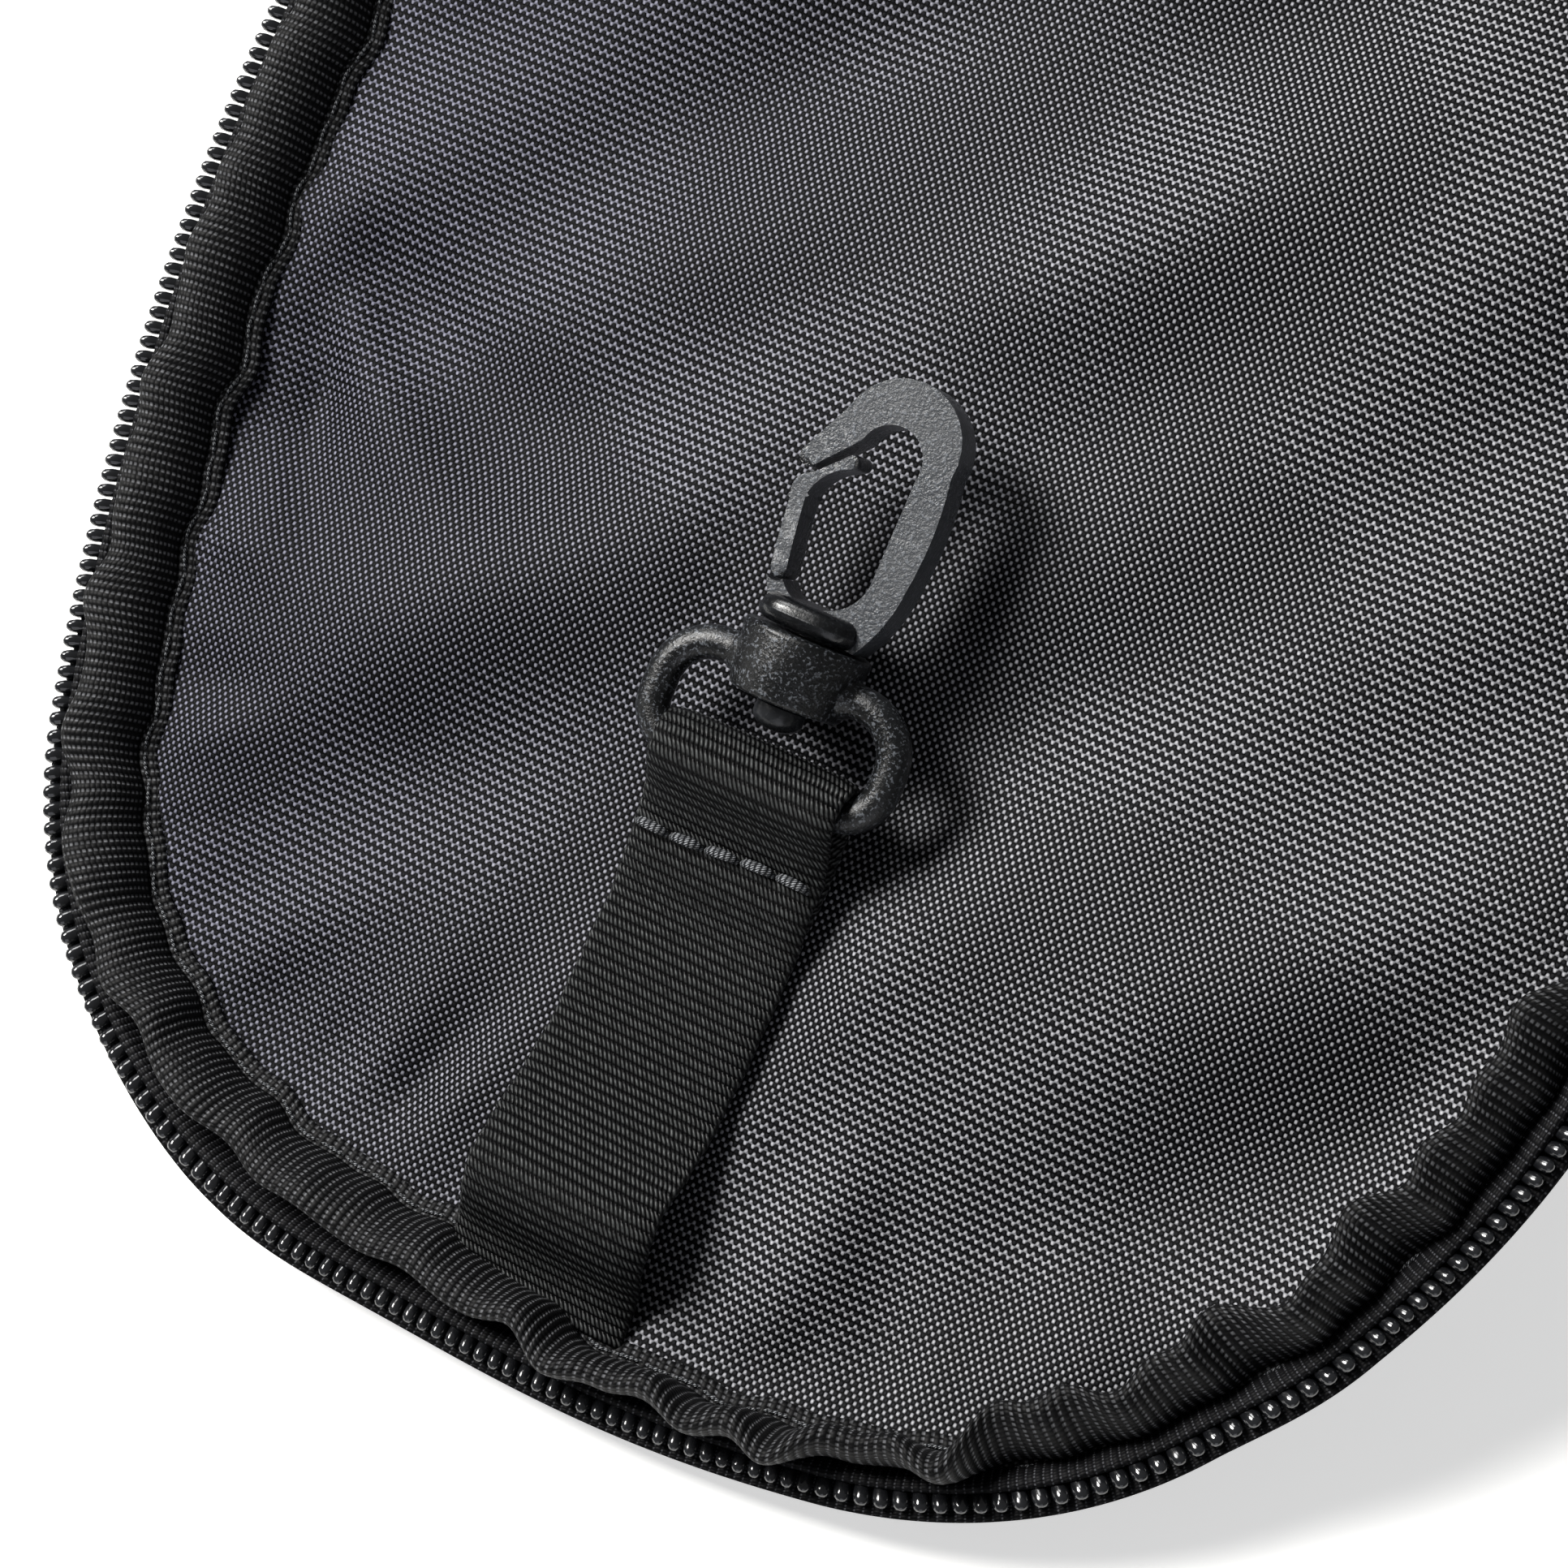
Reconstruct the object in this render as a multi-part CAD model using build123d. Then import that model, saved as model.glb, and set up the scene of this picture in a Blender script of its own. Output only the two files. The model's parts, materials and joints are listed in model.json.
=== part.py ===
from build123d import *
from math import acos, asin, atan, atan2, cos, degrees, hypot, radians, sin, sqrt
import os

# Hanging toiletry bag: a soft tub with a zip-around lid that carries a swivel hook
# on a webbing strap. Millimetres, +Z up, the tub's underside centred on the origin,
# the lid folded open towards -Y with its free end on the ground.

# Seam outline, the same for the lid and the tub, measured from the hinge line
panel_length = 215.0
panel_half_width = 72.0
straight_side = 115.0  # from the hinge line to where the sides begin to round
side_radius = 240.0
corner_radius = 40.0
end_radius = 165.0

# Tub
wall_height = 66.0
shell_thickness = 1.0
pad_thickness = 2.2
board_thickness = 2.4
lining_thickness = 0.5
layer_gap = 0.05  # between curved layers of one sewn wall
piping_radius = 1.7
binding_thickness = 1.6
binding_flap = 8.3  # how far a folded binding reaches from its seam

# Lid
lid_shell_thickness = 0.9
lid_foam_thickness = 3.2
lid_start = 6.0  # from the hinge line to the lid panel's edge
ridge_thickness = 2.0
ridge_lean = 6.0  # degrees outwards from upright

# Zip
tape_thickness = 0.6
coil_height = 2.2
coil_width = 3.2
coil_parting = 0.8  # half the gap between the two coils when the zip is closed
tub_flare = 45.0  # degrees of the tub's tape outwards from upright
tub_tape = 12.0  # from the seam to the tape's edge
tub_rim_past_coil = 1.2
lid_flare = 25.0  # degrees of the lid's tape up from the lid
lid_tape = 10.0
lid_rim_past_coil = 0.6
tub_zip_start = 4.0  # from the hinge line
lid_zip_start = 30.0

# Zip slider and pull
slider_start = 18.0
slider_travel = 84.0
slider_length = 11.0
slider_height = 8.0
slider_plate = 1.6
slider_post = 1.0
slider_bridge = 4.0
slider_clearance = 0.45  # outside the tapes' edges
wedge_plate_height = 4.6
ear_thickness = 1.2
ear_reach = 3.0
pull_pin_radius = 0.75
pin_clearance = 0.08
pull_width = 6.4
pull_thickness = 1.8
pull_length = 26.0
pull_neck = 4.4
pull_hole_radius = 1.6
soft_clearance = 0.35
stop_length = 2.4

# Hinge
hinge_bead_radius = 2.4
hinge_web = 1.2

# Hook strap
webbing_width = 20.0
webbing_thickness = 1.4
strap_root_start = 2.6  # from the free end's seam
strap_pivot = 7.0
strap_pivot_height = 6.4  # above the lining
strap_flat_start = 17.0
strap_fold_end = 54.4
strap_eye_height = 5.2  # of the ring's bar above the lining

# Swivel ring: distances along the swivel axis are measured from the bar
wire_radius = 1.7
ring_side_clearance = 0.6  # between the webbing's edge and the ring's side
ring_reach = 10.4
ring_near_bend = 1.9  # beside the webbing
ring_far_bend = 4.6
ring_rise = 7.0  # degrees the swivel axis rises from the lining
barrel_start = 7.5
barrel_length = 6.6
barrel_near_radius = 5.65
barrel_far_radius = 6.4
swivel_pin_radius = 2.0
rivet_head_radius = 2.25
rivet_head_height = 1.5
bore_clearance = 0.08

# Snap hook
collar_thickness = 2.6
collar_radius = 5.25
collar_clearance = 0.3
hook_thickness = 4.7
hook_top = 40.0
hook_edge = 0.5
gate_thickness = 4.1
gate_gap = 0.3
gate_root = 19.0
gate_side = -4.8
gate_root_radius = 0.8

# Pocket and handle
pocket_start = 92.0
pocket_margin = 13.0
mesh_thickness = 0.8
elastic_width = 9.0
elastic_thickness = 1.8
handle_centre = 78.0
handle_span = 104.0
handle_tab = 15.0
handle_standoff = 17.0
handle_bottom = 20.0

# Worked-out sizes
tub_drop = (  # from the zip's parting plane down to the tub's seam
    (tub_tape - tub_rim_past_coil) * cos(radians(tub_flare))
    + (tape_thickness / 2 + coil_height) * sin(radians(tub_flare))
    + coil_parting
)
lid_drop = (
    (lid_tape - lid_rim_past_coil) * sin(radians(lid_flare))
    + (tape_thickness / 2 + coil_height) * cos(radians(lid_flare))
    + coil_parting
)
hinge_height = wall_height + tub_drop
hinge_y = -panel_length / 2
lid_skin = lid_drop + lining_thickness + lid_foam_thickness + lid_shell_thickness
lid_slope = degrees(
    asin(hinge_height / hypot(panel_length, lid_skin)) - atan(lid_skin / panel_length)
)
tub_seam = (layer_gap, wall_height)  # outwards from the outline, and height
lid_seam = (layer_gap + tape_thickness, -lid_drop)
wall_thickness = shell_thickness + pad_thickness + lining_thickness + 2 * layer_gap
ring_width = webbing_width + 2 * (ring_side_clearance + 2 * wire_radius)
bar_place = strap_fold_end - webbing_thickness - soft_clearance - wire_radius


def rim_edges(out, start):
    """Edges of the seam outline pushed outwards, from the right hinge end to the left."""
    width = panel_half_width + out
    side_x = panel_half_width - side_radius
    end_y = panel_length - end_radius
    # the corner's centre is where two circles cross, so that all arcs run tangent
    reach_side = side_radius - corner_radius
    reach_end = end_radius - corner_radius
    apart = hypot(side_x, end_y - straight_side)
    along = (reach_side**2 - reach_end**2 + apart**2) / (2 * apart)
    across = sqrt(reach_side**2 - along**2)
    ux, uy = -side_x / apart, (end_y - straight_side) / apart
    corner_x = side_x + along * ux - across * uy
    corner_y = straight_side + along * uy + across * ux
    low = degrees(atan2(corner_y - straight_side, corner_x - side_x))
    high = degrees(atan2(corner_y - end_y, corner_x))
    return [
        Line((width, start), (width, straight_side)),
        CenterArc((side_x, straight_side), side_radius + out, 0, low),
        CenterArc((corner_x, corner_y), corner_radius + out, low, high - low),
        CenterArc((0, end_y), end_radius + out, high, 180 - 2 * high),
        CenterArc((-corner_x, corner_y), corner_radius + out, 180 - high, high - low),
        CenterArc((-side_x, straight_side), side_radius + out, 180 - low, low),
        Line((-width, straight_side), (-width, start)),
    ]


def rim_face(out, start):
    edges = rim_edges(out, start)
    return make_face([*edges, Line(edges[-1] @ 1, edges[0] @ 0)])


def slab(out, start, low, high):
    return Pos(0, 0, low) * extrude(rim_face(out, start), high - low)


def rim_sweep(points, start):
    """Sweep a profile of (outwards, height) points along the seam outline."""
    plane = Plane((0, start, 0), x_dir=(1, 0, 0), z_dir=(0, -1, 0))
    shifted = [(panel_half_width + out, height) for out, height in points]
    profile = plane * make_face(Polyline(*shifted, close=True))
    return sweep(profile, path=Wire(rim_edges(0, start)))


def strip(start, angle, low, high, bottom, top):
    """Corners of a strip's section that leans at an angle from outwards."""
    c, s = cos(radians(angle)), sin(radians(angle))
    corners = [(low, bottom), (high, bottom), (high, top), (low, top)]
    return [(start[0] + x * c - y * s, start[1] + x * s + y * c) for x, y in corners]


def place_tub(shape):
    return Pos(0, hinge_y, 0) * shape


def place_lid(shape):
    """Lid pieces are made flat, inside up, with the free end towards -Y."""
    return Pos(0, hinge_y, hinge_height) * Rot(lid_slope, 0, 0) * shape


def flip(shape):
    return mirror(shape, about=Plane.XZ)


# Tub


def back_panel():
    return slab(0, 0, 0, shell_thickness)


def gusset_shell():
    outer = slab(0, 0, shell_thickness, wall_height)
    return outer - slab(-shell_thickness, -1, 0, wall_height + 1)


def hinge_wall():
    inside = panel_half_width - shell_thickness
    size = (2 * inside, shell_thickness, wall_height - shell_thickness)
    return Pos(0, shell_thickness / 2, shell_thickness + size[2] / 2) * Box(*size)


def back_board():
    inset = shell_thickness + layer_gap
    return slab(-inset, inset, shell_thickness, shell_thickness + board_thickness)


def wall_pad():
    low = shell_thickness + board_thickness
    outer = shell_thickness + layer_gap
    inner = outer + pad_thickness
    high = wall_height - binding_thickness
    return slab(-outer, outer, low, high) - slab(-inner, inner, low - 1, high + 1)


def tub_lining():
    low = shell_thickness + board_thickness
    outer = shell_thickness + pad_thickness + 2 * layer_gap
    inner = outer + lining_thickness
    high = wall_height - binding_thickness
    tray = slab(-outer, outer, low, high)
    return tray - slab(-inner, inner, low + lining_thickness, high + 1)


def tub_binding():
    """A folded tape over the tub's raw top edge, its flap down the inside."""
    inner = wall_thickness + layer_gap
    flap = inner + binding_thickness
    top = wall_height
    under = top - binding_thickness
    out = -shell_thickness - layer_gap
    profile = [
        (out, under),
        (out, top),
        (-flap, top),
        (-flap, top - binding_flap),
        (-inner, top - binding_flap),
        (-inner, under),
    ]
    return rim_sweep(profile, flap + soft_clearance)


def hinge_wall_binding():
    inner = wall_thickness + layer_gap
    flap = inner + binding_thickness
    half = panel_half_width - shell_thickness - layer_gap
    low = wall_height - binding_thickness
    cap = Pos(0, (shell_thickness + layer_gap + flap) / 2, low + binding_thickness / 2)
    cap = cap * Box(2 * half, flap - shell_thickness - layer_gap, binding_thickness)
    drop = binding_flap - binding_thickness
    down = Pos(0, (inner + flap) / 2, low - drop / 2)
    inside = 2 * (panel_half_width - flap)
    return cap + down * Box(inside, binding_thickness, drop)


def back_piping():
    """The corded seam round the back panel's edge."""
    centre = piping_radius + shell_thickness / 2
    plane = Plane((0, 0, 0), x_dir=(1, 0, 0), z_dir=(0, -1, 0))
    seat = panel_half_width + piping_radius + layer_gap
    profile = plane * Pos(seat, centre) * Circle(piping_radius)
    return sweep(profile, path=Wire(rim_edges(0, 0)))


def tub_zip_tape():
    half = tape_thickness / 2
    section = strip(tub_seam, 90 - tub_flare, half, tub_tape, -half, half)
    return rim_sweep(section, tub_zip_start)


def tub_zip_coil():
    high = tub_tape - tub_rim_past_coil
    low = high - coil_width
    half = tape_thickness / 2
    section = strip(tub_seam, 90 - tub_flare, low, high, half, half + coil_height)
    return rim_sweep(section, tub_zip_start + stop_length)


def zip_stops():
    """Moulded end stops on the tub's tape, just behind each end of the coil."""
    seam = (panel_half_width + tub_seam[0], tub_seam[1])
    high = tub_tape - tub_rim_past_coil
    half = tape_thickness / 2
    section = strip(seam, 90 - tub_flare, high - coil_width, high, half, half + coil_height)
    plane = Plane((0, tub_zip_start, 0), x_dir=(1, 0, 0), z_dir=(0, -1, 0))
    face = plane * make_face(Polyline(*section, close=True))
    right = extrude(face, -(stop_length - layer_gap))
    return right + mirror(right, about=Plane.YZ)


def mesh_pocket():
    low = shell_thickness + board_thickness + lining_thickness
    edge = wall_thickness + pocket_margin
    return slab(-edge, pocket_start + elastic_width, low, low + mesh_thickness)


def pocket_elastic():
    low = shell_thickness + board_thickness + lining_thickness
    half = panel_half_width - wall_thickness - pocket_margin
    centre = Pos(0, pocket_start + elastic_width / 2, low + elastic_thickness / 2)
    return centre * Box(2 * half, elastic_width, elastic_thickness)


def carry_handle():
    """A webbing handle sewn to the right side wall, bowed out for the fingers."""
    near = panel_half_width + webbing_thickness / 2
    far = near + handle_standoff
    half = handle_span / 2
    run = half - handle_tab
    points = [
        (near, -half),
        (near, -run),
        (far, -run + handle_standoff),
        (far, run - handle_standoff),
        (near, run),
        (near, half),
    ]
    path = FilletPolyline(*points, radius=handle_standoff * 0.45)
    outline = trace(path, webbing_thickness)
    return Pos(0, handle_centre, handle_bottom) * extrude(outline, webbing_width)


def hinge_bead():
    """The rolled fabric fold that the lid turns on, with its web to the tub."""
    length = 2 * (panel_half_width - shell_thickness)
    bead = Pos(0, 0, hinge_height) * Rot(0, 90, 0) * Cylinder(hinge_bead_radius, length)
    web_height = hinge_height - wall_height
    web = Pos(0, 0, wall_height + web_height / 2) * Box(length, hinge_web, web_height)
    return bead + web


# Lid, in its own flat frame with the hinge axis at the origin


def lid_shell():
    skin = slab(0, lid_start, -lid_skin, -lid_drop)
    inner = slab(-lid_shell_thickness, lid_start + lid_shell_thickness,
                 -lid_skin + lid_shell_thickness, 1)
    return flip(skin - inner)


def lid_foam():
    inset = lid_shell_thickness + layer_gap
    low = -lid_skin + lid_shell_thickness
    return flip(slab(-inset, lid_start + inset, low, low + lid_foam_thickness))


def lid_lining():
    inset = lid_shell_thickness + layer_gap
    low = -lid_drop - lining_thickness
    return flip(slab(-inset, lid_start + inset, low, -lid_drop))


def lid_binding():
    """The bound seam allowance, which stands up along the lid's edge."""
    seam = (-ridge_thickness / 2, -lid_drop + layer_gap)
    half = ridge_thickness / 2
    section = strip(seam, 90 - ridge_lean, 0, binding_flap, -half, half)
    section[0] = (section[0][0], seam[1])
    section[3] = (section[3][0], seam[1])
    return flip(rim_sweep(section, lid_start))


def lid_hinge_binding():
    half = panel_half_width - ridge_thickness - soft_clearance
    low = -lid_drop + layer_gap
    near = lid_start + lid_shell_thickness
    centre = Pos(0, -near - binding_flap / 2, low + binding_thickness / 2)
    return centre * Box(2 * half, binding_flap, binding_thickness)


def lid_zip_tape():
    half = tape_thickness / 2
    section = strip(lid_seam, lid_flare, 0, lid_tape, -half, half)
    return flip(rim_sweep(section, lid_zip_start))


def lid_zip_coil():
    high = lid_tape - lid_rim_past_coil
    half = tape_thickness / 2
    section = strip(lid_seam, lid_flare, high - coil_width, high, half, half + coil_height)
    return flip(rim_sweep(section, lid_zip_start))


def lid_hinge_web():
    """The lid's half of the hinge fabric, from the panel's edge towards the bead."""
    reach = hinge_bead_radius + soft_clearance
    near = (-reach * 0.75, -reach * 0.75)
    far = (-lid_start + layer_gap, -lid_drop - lid_shell_thickness)
    turn = atan2(far[1] - near[1], far[0] - near[0])
    side = (hinge_web / 2 * sin(turn), -hinge_web / 2 * cos(turn))
    section = [
        (near[0] + side[0], near[1] + side[1]),
        (near[0] - side[0], near[1] - side[1]),
        (-lid_start, -lid_drop - 2 * hinge_web),
        (-lid_start, -lid_drop - lid_shell_thickness / 4),
    ]
    length = 2 * (panel_half_width - shell_thickness - soft_clearance)
    face = Plane.YZ * make_face(Polyline(*section, close=True))
    return Pos(-length / 2, 0, 0) * extrude(face, length)


# Strap and hook, in a frame with Y from the free end's seam towards the hinge and
# Z up from the lining


def place_strap(shape):
    return place_lid(Pos(0, -panel_length, -lid_drop) * shape)


def strap_root():
    """The webbing's sewn end, rising from under the binding to where it folds."""
    foot = strap_root_start + webbing_thickness
    turn = atan2(strap_pivot_height - layer_gap, strap_pivot - foot)
    along = (cos(turn), sin(turn))
    side = (webbing_thickness * sin(turn), -webbing_thickness * cos(turn))
    short = webbing_thickness + soft_clearance  # the tip stops clear of the fold
    tip = (strap_pivot - short * along[0], strap_pivot_height - short * along[1])
    section = [
        (foot - webbing_thickness, layer_gap),
        (foot + webbing_thickness, layer_gap),
        (tip[0] + side[0], tip[1] + side[1]),
        (tip[0] - side[0], tip[1] - side[1]),
    ]
    face = Plane.YZ * make_face(Polyline(*section, close=True))
    return Pos(-webbing_width / 2, 0, 0) * extrude(face, webbing_width)


def hook_strap():
    """Doubled webbing from the fold at its root to the eye round the ring's bar."""
    low = soft_clearance
    high = low + 2 * webbing_thickness
    turn = atan2(low + webbing_thickness - strap_pivot_height, strap_flat_start - strap_pivot)
    side = (-webbing_thickness * sin(turn), webbing_thickness * cos(turn))
    eye_radius = wire_radius + soft_clearance + webbing_thickness
    waist = bar_place - eye_radius
    section = [
        (strap_pivot + side[0], strap_pivot_height + side[1]),
        (strap_pivot - side[0], strap_pivot_height - side[1]),
        (strap_flat_start, low),
        (waist, low),
        (bar_place, strap_eye_height - eye_radius),
        (bar_place, strap_eye_height + eye_radius),
        (waist, high + webbing_thickness),
        (strap_flat_start + webbing_thickness, high),
    ]
    plane = Plane.YZ
    body = extrude(plane * make_face(Polyline(*section, close=True)), webbing_width)
    eye = extrude(plane * Pos(bar_place, strap_eye_height) * Circle(eye_radius), webbing_width)
    inner = wire_radius + soft_clearance
    hole = extrude(plane * Pos(bar_place, strap_eye_height) * Circle(inner), webbing_width)
    fold = plane * Pos(strap_pivot, strap_pivot_height) * Circle(webbing_thickness)
    return Pos(-webbing_width / 2, 0, 0) * (body + eye + extrude(fold, webbing_width) - hole)


def place_hook(shape):
    """Hook pieces are made flat, with Y along the swivel axis from the ring's bar."""
    bar = Pos(0, bar_place, strap_eye_height)
    return place_strap(bar * Rot(ring_rise, 0, 0) * shape)


def swivel_ring():
    """A moulded ring whose far bar carries the swivel's barrel."""
    half = ring_width / 2 - wire_radius
    near, far, top = ring_near_bend, ring_far_bend, ring_reach
    path = Wire([
        Line((0, 0), (half - near, 0)),
        CenterArc((half - near, near), near, -90, 90),
        Line((half, near), (half, top - far)),
        CenterArc((half - far, top - far), far, 0, 90),
        Line((half - far, top), (far - half, top)),
        CenterArc((far - half, top - far), far, 90, 90),
        Line((-half, top - far), (-half, near)),
        CenterArc((near - half, near), near, 180, 90),
        Line((near - half, 0), (0, 0)),
    ])
    wire = sweep(Plane((0, 0, 0), z_dir=(1, 0, 0)) * Circle(wire_radius), path=path)
    middle = barrel_start + barrel_length / 2
    barrel = Pos(0, middle, 0) * Rot(-90, 0, 0) * Cone(
        barrel_near_radius, barrel_far_radius, barrel_length)
    rims = [edge for edge in barrel.edges() if edge.geom_type == GeomType.CIRCLE]
    barrel = fillet(rims, hook_edge)
    bore = Pos(0, middle, 0) * Rot(90, 0, 0) * Cylinder(
        swivel_pin_radius + bore_clearance, 2 * barrel_length)
    return wire + barrel - bore


def swivel_pin():
    """The rivet that the hook turns on, its head inside the ring."""
    end = barrel_start + barrel_length + collar_clearance + collar_thickness
    start = barrel_start - bore_clearance
    shank = Pos(0, (start + end) / 2, 0) * Rot(90, 0, 0) * Cylinder(
        swivel_pin_radius, end - start)
    head = Pos(0, start - rivet_head_height / 2, 0) * Rot(90, 0, 0) * Cylinder(
        rivet_head_radius, rivet_head_height)
    crown = head.faces().sort_by(Axis.Y)[0].edges()
    return fillet(crown, rivet_head_height * 0.6) + shank


def hook_outline():
    """The hook's plate: a bowed limb that turns over the top into the nose."""
    low = barrel_start + barrel_length + collar_clearance
    top = hook_top
    eye_low = low + collar_thickness
    seat = gate_root_radius + gate_gap  # the hollow that the gate's root turns in
    lip = seat * sin(radians(55)), seat * cos(radians(55))
    right = (gate_side + lip[0], gate_root - lip[1])
    left = (gate_side - lip[0], gate_root - lip[1])
    return make_face([
        Line((-5.0, low), (5.2, low)),
        ThreePointArc((5.2, low), (6.9, low + 3.4), (7.7, low + 7.2)),
        ThreePointArc((7.7, low + 7.2), (8.1, low + 11.5), (7.6, top - 7.2)),
        ThreePointArc((7.6, top - 7.2), (2.2, top), (-4.2, top - 4.6)),
        Line((-4.2, top - 4.6), (-6.9, top - 9.8)),
        ThreePointArc((-6.9, top - 9.8), (-6.5, top - 11.0), (-5.3, top - 10.8)),
        Line((-5.3, top - 10.8), (-1.8, top - 7.0)),
        ThreePointArc((-1.8, top - 7.0), (2.3, top - 4.6), (4.5, top - 8.6)),
        Line((4.5, top - 8.6), (4.3, eye_low + 4.0)),
        ThreePointArc((4.3, eye_low + 4.0), (2.6, eye_low + 0.9), (-0.6, eye_low)),
        ThreePointArc((-0.6, eye_low), (-2.8, eye_low + 0.3), right),
        ThreePointArc(right, (gate_side, gate_root - seat), left),
        Line(left, (-5.0, low)),
    ])


def snap_hook():
    low = barrel_start + barrel_length + collar_clearance
    half = hook_thickness / 2
    plate = Pos(0, 0, -half) * extrude(hook_outline(), hook_thickness)
    collar = Pos(0, low + collar_thickness / 2, 0) * Rot(90, 0, 0) * Cylinder(
        collar_radius, collar_thickness)
    collar = fillet(collar.edges().filter_by(GeomType.CIRCLE), collar_thickness * 0.42)
    hole = Pos(0, low + collar_thickness / 2, 0) * Rot(90, 0, 0) * Cylinder(
        swivel_pin_radius, collar_thickness)
    return plate + collar - hole


def hook_gate():
    """A springy arm from beside the collar to under the nose."""
    start = gate_root
    top = hook_top
    right = (gate_side + gate_root_radius, start)
    left = (gate_side - gate_root_radius, start)
    outline = make_face([
        ThreePointArc(left, (gate_side, start - gate_root_radius), right),
        ThreePointArc(right, (-4.6, start + 4.0), (-5.0, top - 13.6)),
        ThreePointArc((-5.0, top - 13.6), (-4.5, top - 12.2), (-1.6, top - 9.8)),
        ThreePointArc((-1.6, top - 9.8), (-1.3, top - 8.9), (-2.1, top - 8.5)),
        Line((-2.1, top - 8.5), (-5.2, top - 11.5)),
        ThreePointArc((-5.2, top - 11.5), (-6.5, top - 12.6), (-6.4, top - 14.2)),
        ThreePointArc((-6.4, top - 14.2), (-6.1, start + 3.6), left),
    ])
    return Pos(0, 0, -gate_thickness / 2) * extrude(outline, gate_thickness)


# Slider and pull, made for the right side in the tub's frame, centred on Y = 0


def slider_body():
    """Two plates joined by a post that runs between the coils, with ears outside."""
    plane_height = hinge_height
    outside = panel_half_width + tub_tape * sin(radians(tub_flare)) + slider_clearance
    outside = max(outside, panel_half_width + lid_tape * cos(radians(lid_flare))
                  + tape_thickness / 2 + slider_clearance)
    outer = Pos(outside + slider_plate / 2, 0, plane_height)
    outer = outer * Box(slider_plate, slider_length, slider_height)
    outer = fillet(outer.edges().filter_by(Axis.X), slider_height * 0.3)
    inner_out = panel_half_width + wedge_reach()
    inner_in = inner_out - slider_plate
    inner = Pos((inner_out + inner_in) / 2, 0, plane_height)
    inner = inner * Box(slider_plate, slider_length * 0.9, wedge_plate_height)
    post = Pos((outside + inner_in) / 2, 0, plane_height)
    post = post * Box(outside - inner_in, slider_bridge, slider_post)
    body = outer + inner + post
    for side in (-1, 1):
        middle = side * (pull_neck / 2 + soft_clearance + ear_thickness / 2)
        place = Pos(outside + slider_plate + ear_reach / 2, middle, plane_height)
        ear = place * Box(ear_reach, ear_thickness, 2 * pull_pin_radius + 2.2)
        body = body + ear
    hole = Pos(pull_axis_x(), 0, plane_height) * Rot(90, 0, 0)
    return body - hole * Cylinder(pull_pin_radius + pin_clearance, 3 * pull_width)


def wedge_reach():
    """How far out the slider's inner plate may reach into the wedge of the coils."""
    near = tub_tape - tub_rim_past_coil - coil_width
    high = tape_thickness / 2 + coil_height
    corner = near * sin(radians(tub_flare)) - high * cos(radians(tub_flare))
    return corner - soft_clearance / 4


def pull_axis_x():
    outside = panel_half_width + tub_tape * sin(radians(tub_flare)) + slider_clearance
    outside = max(outside, panel_half_width + lid_tape * cos(radians(lid_flare))
                  + tape_thickness / 2 + slider_clearance)
    return outside + slider_plate + ear_reach / 2


def slider_pull():
    """A flat tab that hangs from a cross pin held in the slider's ears."""
    pin_length = pull_neck + 2 * (soft_clearance + ear_thickness)
    axis = Pos(pull_axis_x(), 0, hinge_height)
    pin = axis * Rot(90, 0, 0) * Cylinder(pull_pin_radius, pin_length)
    neck_drop = 2 * pull_width / 2 + pull_pin_radius
    neck = axis * Pos(0, 0, -neck_drop / 2 + pull_pin_radius)
    neck = neck * Box(pull_thickness, pull_neck, neck_drop + 0.001)
    tab_length = pull_length - neck_drop
    tab = axis * Pos(0, 0, pull_pin_radius - neck_drop - tab_length / 2)
    tab = tab * Box(pull_thickness, pull_width, tab_length)
    tab = fillet(tab.edges().filter_by(Axis.X), pull_width * 0.3)
    hole = axis * Pos(0, 0, -pull_length + pull_width * 0.6) * Rot(0, 90, 0)
    return pin + neck + tab - hole * Cylinder(pull_hole_radius, 3 * pull_thickness)


def at_slider(shape, side):
    """Put a slider piece on the right side (1) or the left (-1)."""
    shape = Pos(0, slider_start, 0) * shape
    return place_tub(shape if side > 0 else mirror(shape, about=Plane.YZ))


def pieces():
    tub = {
        "back_panel": back_panel,
        "back_board": back_board,
        "back_piping": back_piping,
        "gusset_shell": gusset_shell,
        "hinge_wall": hinge_wall,
        "wall_pad": wall_pad,
        "tub_lining": tub_lining,
        "tub_binding": tub_binding,
        "hinge_wall_binding": hinge_wall_binding,
        "tub_zip_tape": tub_zip_tape,
        "tub_zip_coil": tub_zip_coil,
        "zip_stops": zip_stops,
        "mesh_pocket": mesh_pocket,
        "pocket_elastic": pocket_elastic,
        "carry_handle": carry_handle,
        "hinge_bead": hinge_bead,
    }
    lid = {
        "lid_shell": lid_shell,
        "lid_foam": lid_foam,
        "lid_lining": lid_lining,
        "lid_binding": lid_binding,
        "lid_hinge_binding": lid_hinge_binding,
        "lid_zip_tape": lid_zip_tape,
        "lid_zip_coil": lid_zip_coil,
        "lid_hinge_web": lid_hinge_web,
    }
    strap = {"strap_root": strap_root, "hook_strap": hook_strap}
    hook = {
        "swivel_ring": swivel_ring,
        "swivel_pin": swivel_pin,
        "snap_hook": snap_hook,
        "hook_gate": hook_gate,
    }
    made = {name: place_tub(make()) for name, make in tub.items()}
    made |= {name: place_lid(make()) for name, make in lid.items()}
    made |= {name: place_strap(make()) for name, make in strap.items()}
    made |= {name: place_hook(make()) for name, make in hook.items()}
    for side, word in ((1, "right"), (-1, "left")):
        made[f"slider_{word}"] = at_slider(slider_body(), side)
        made[f"pull_{word}"] = at_slider(slider_pull(), side)
    return made


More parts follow.
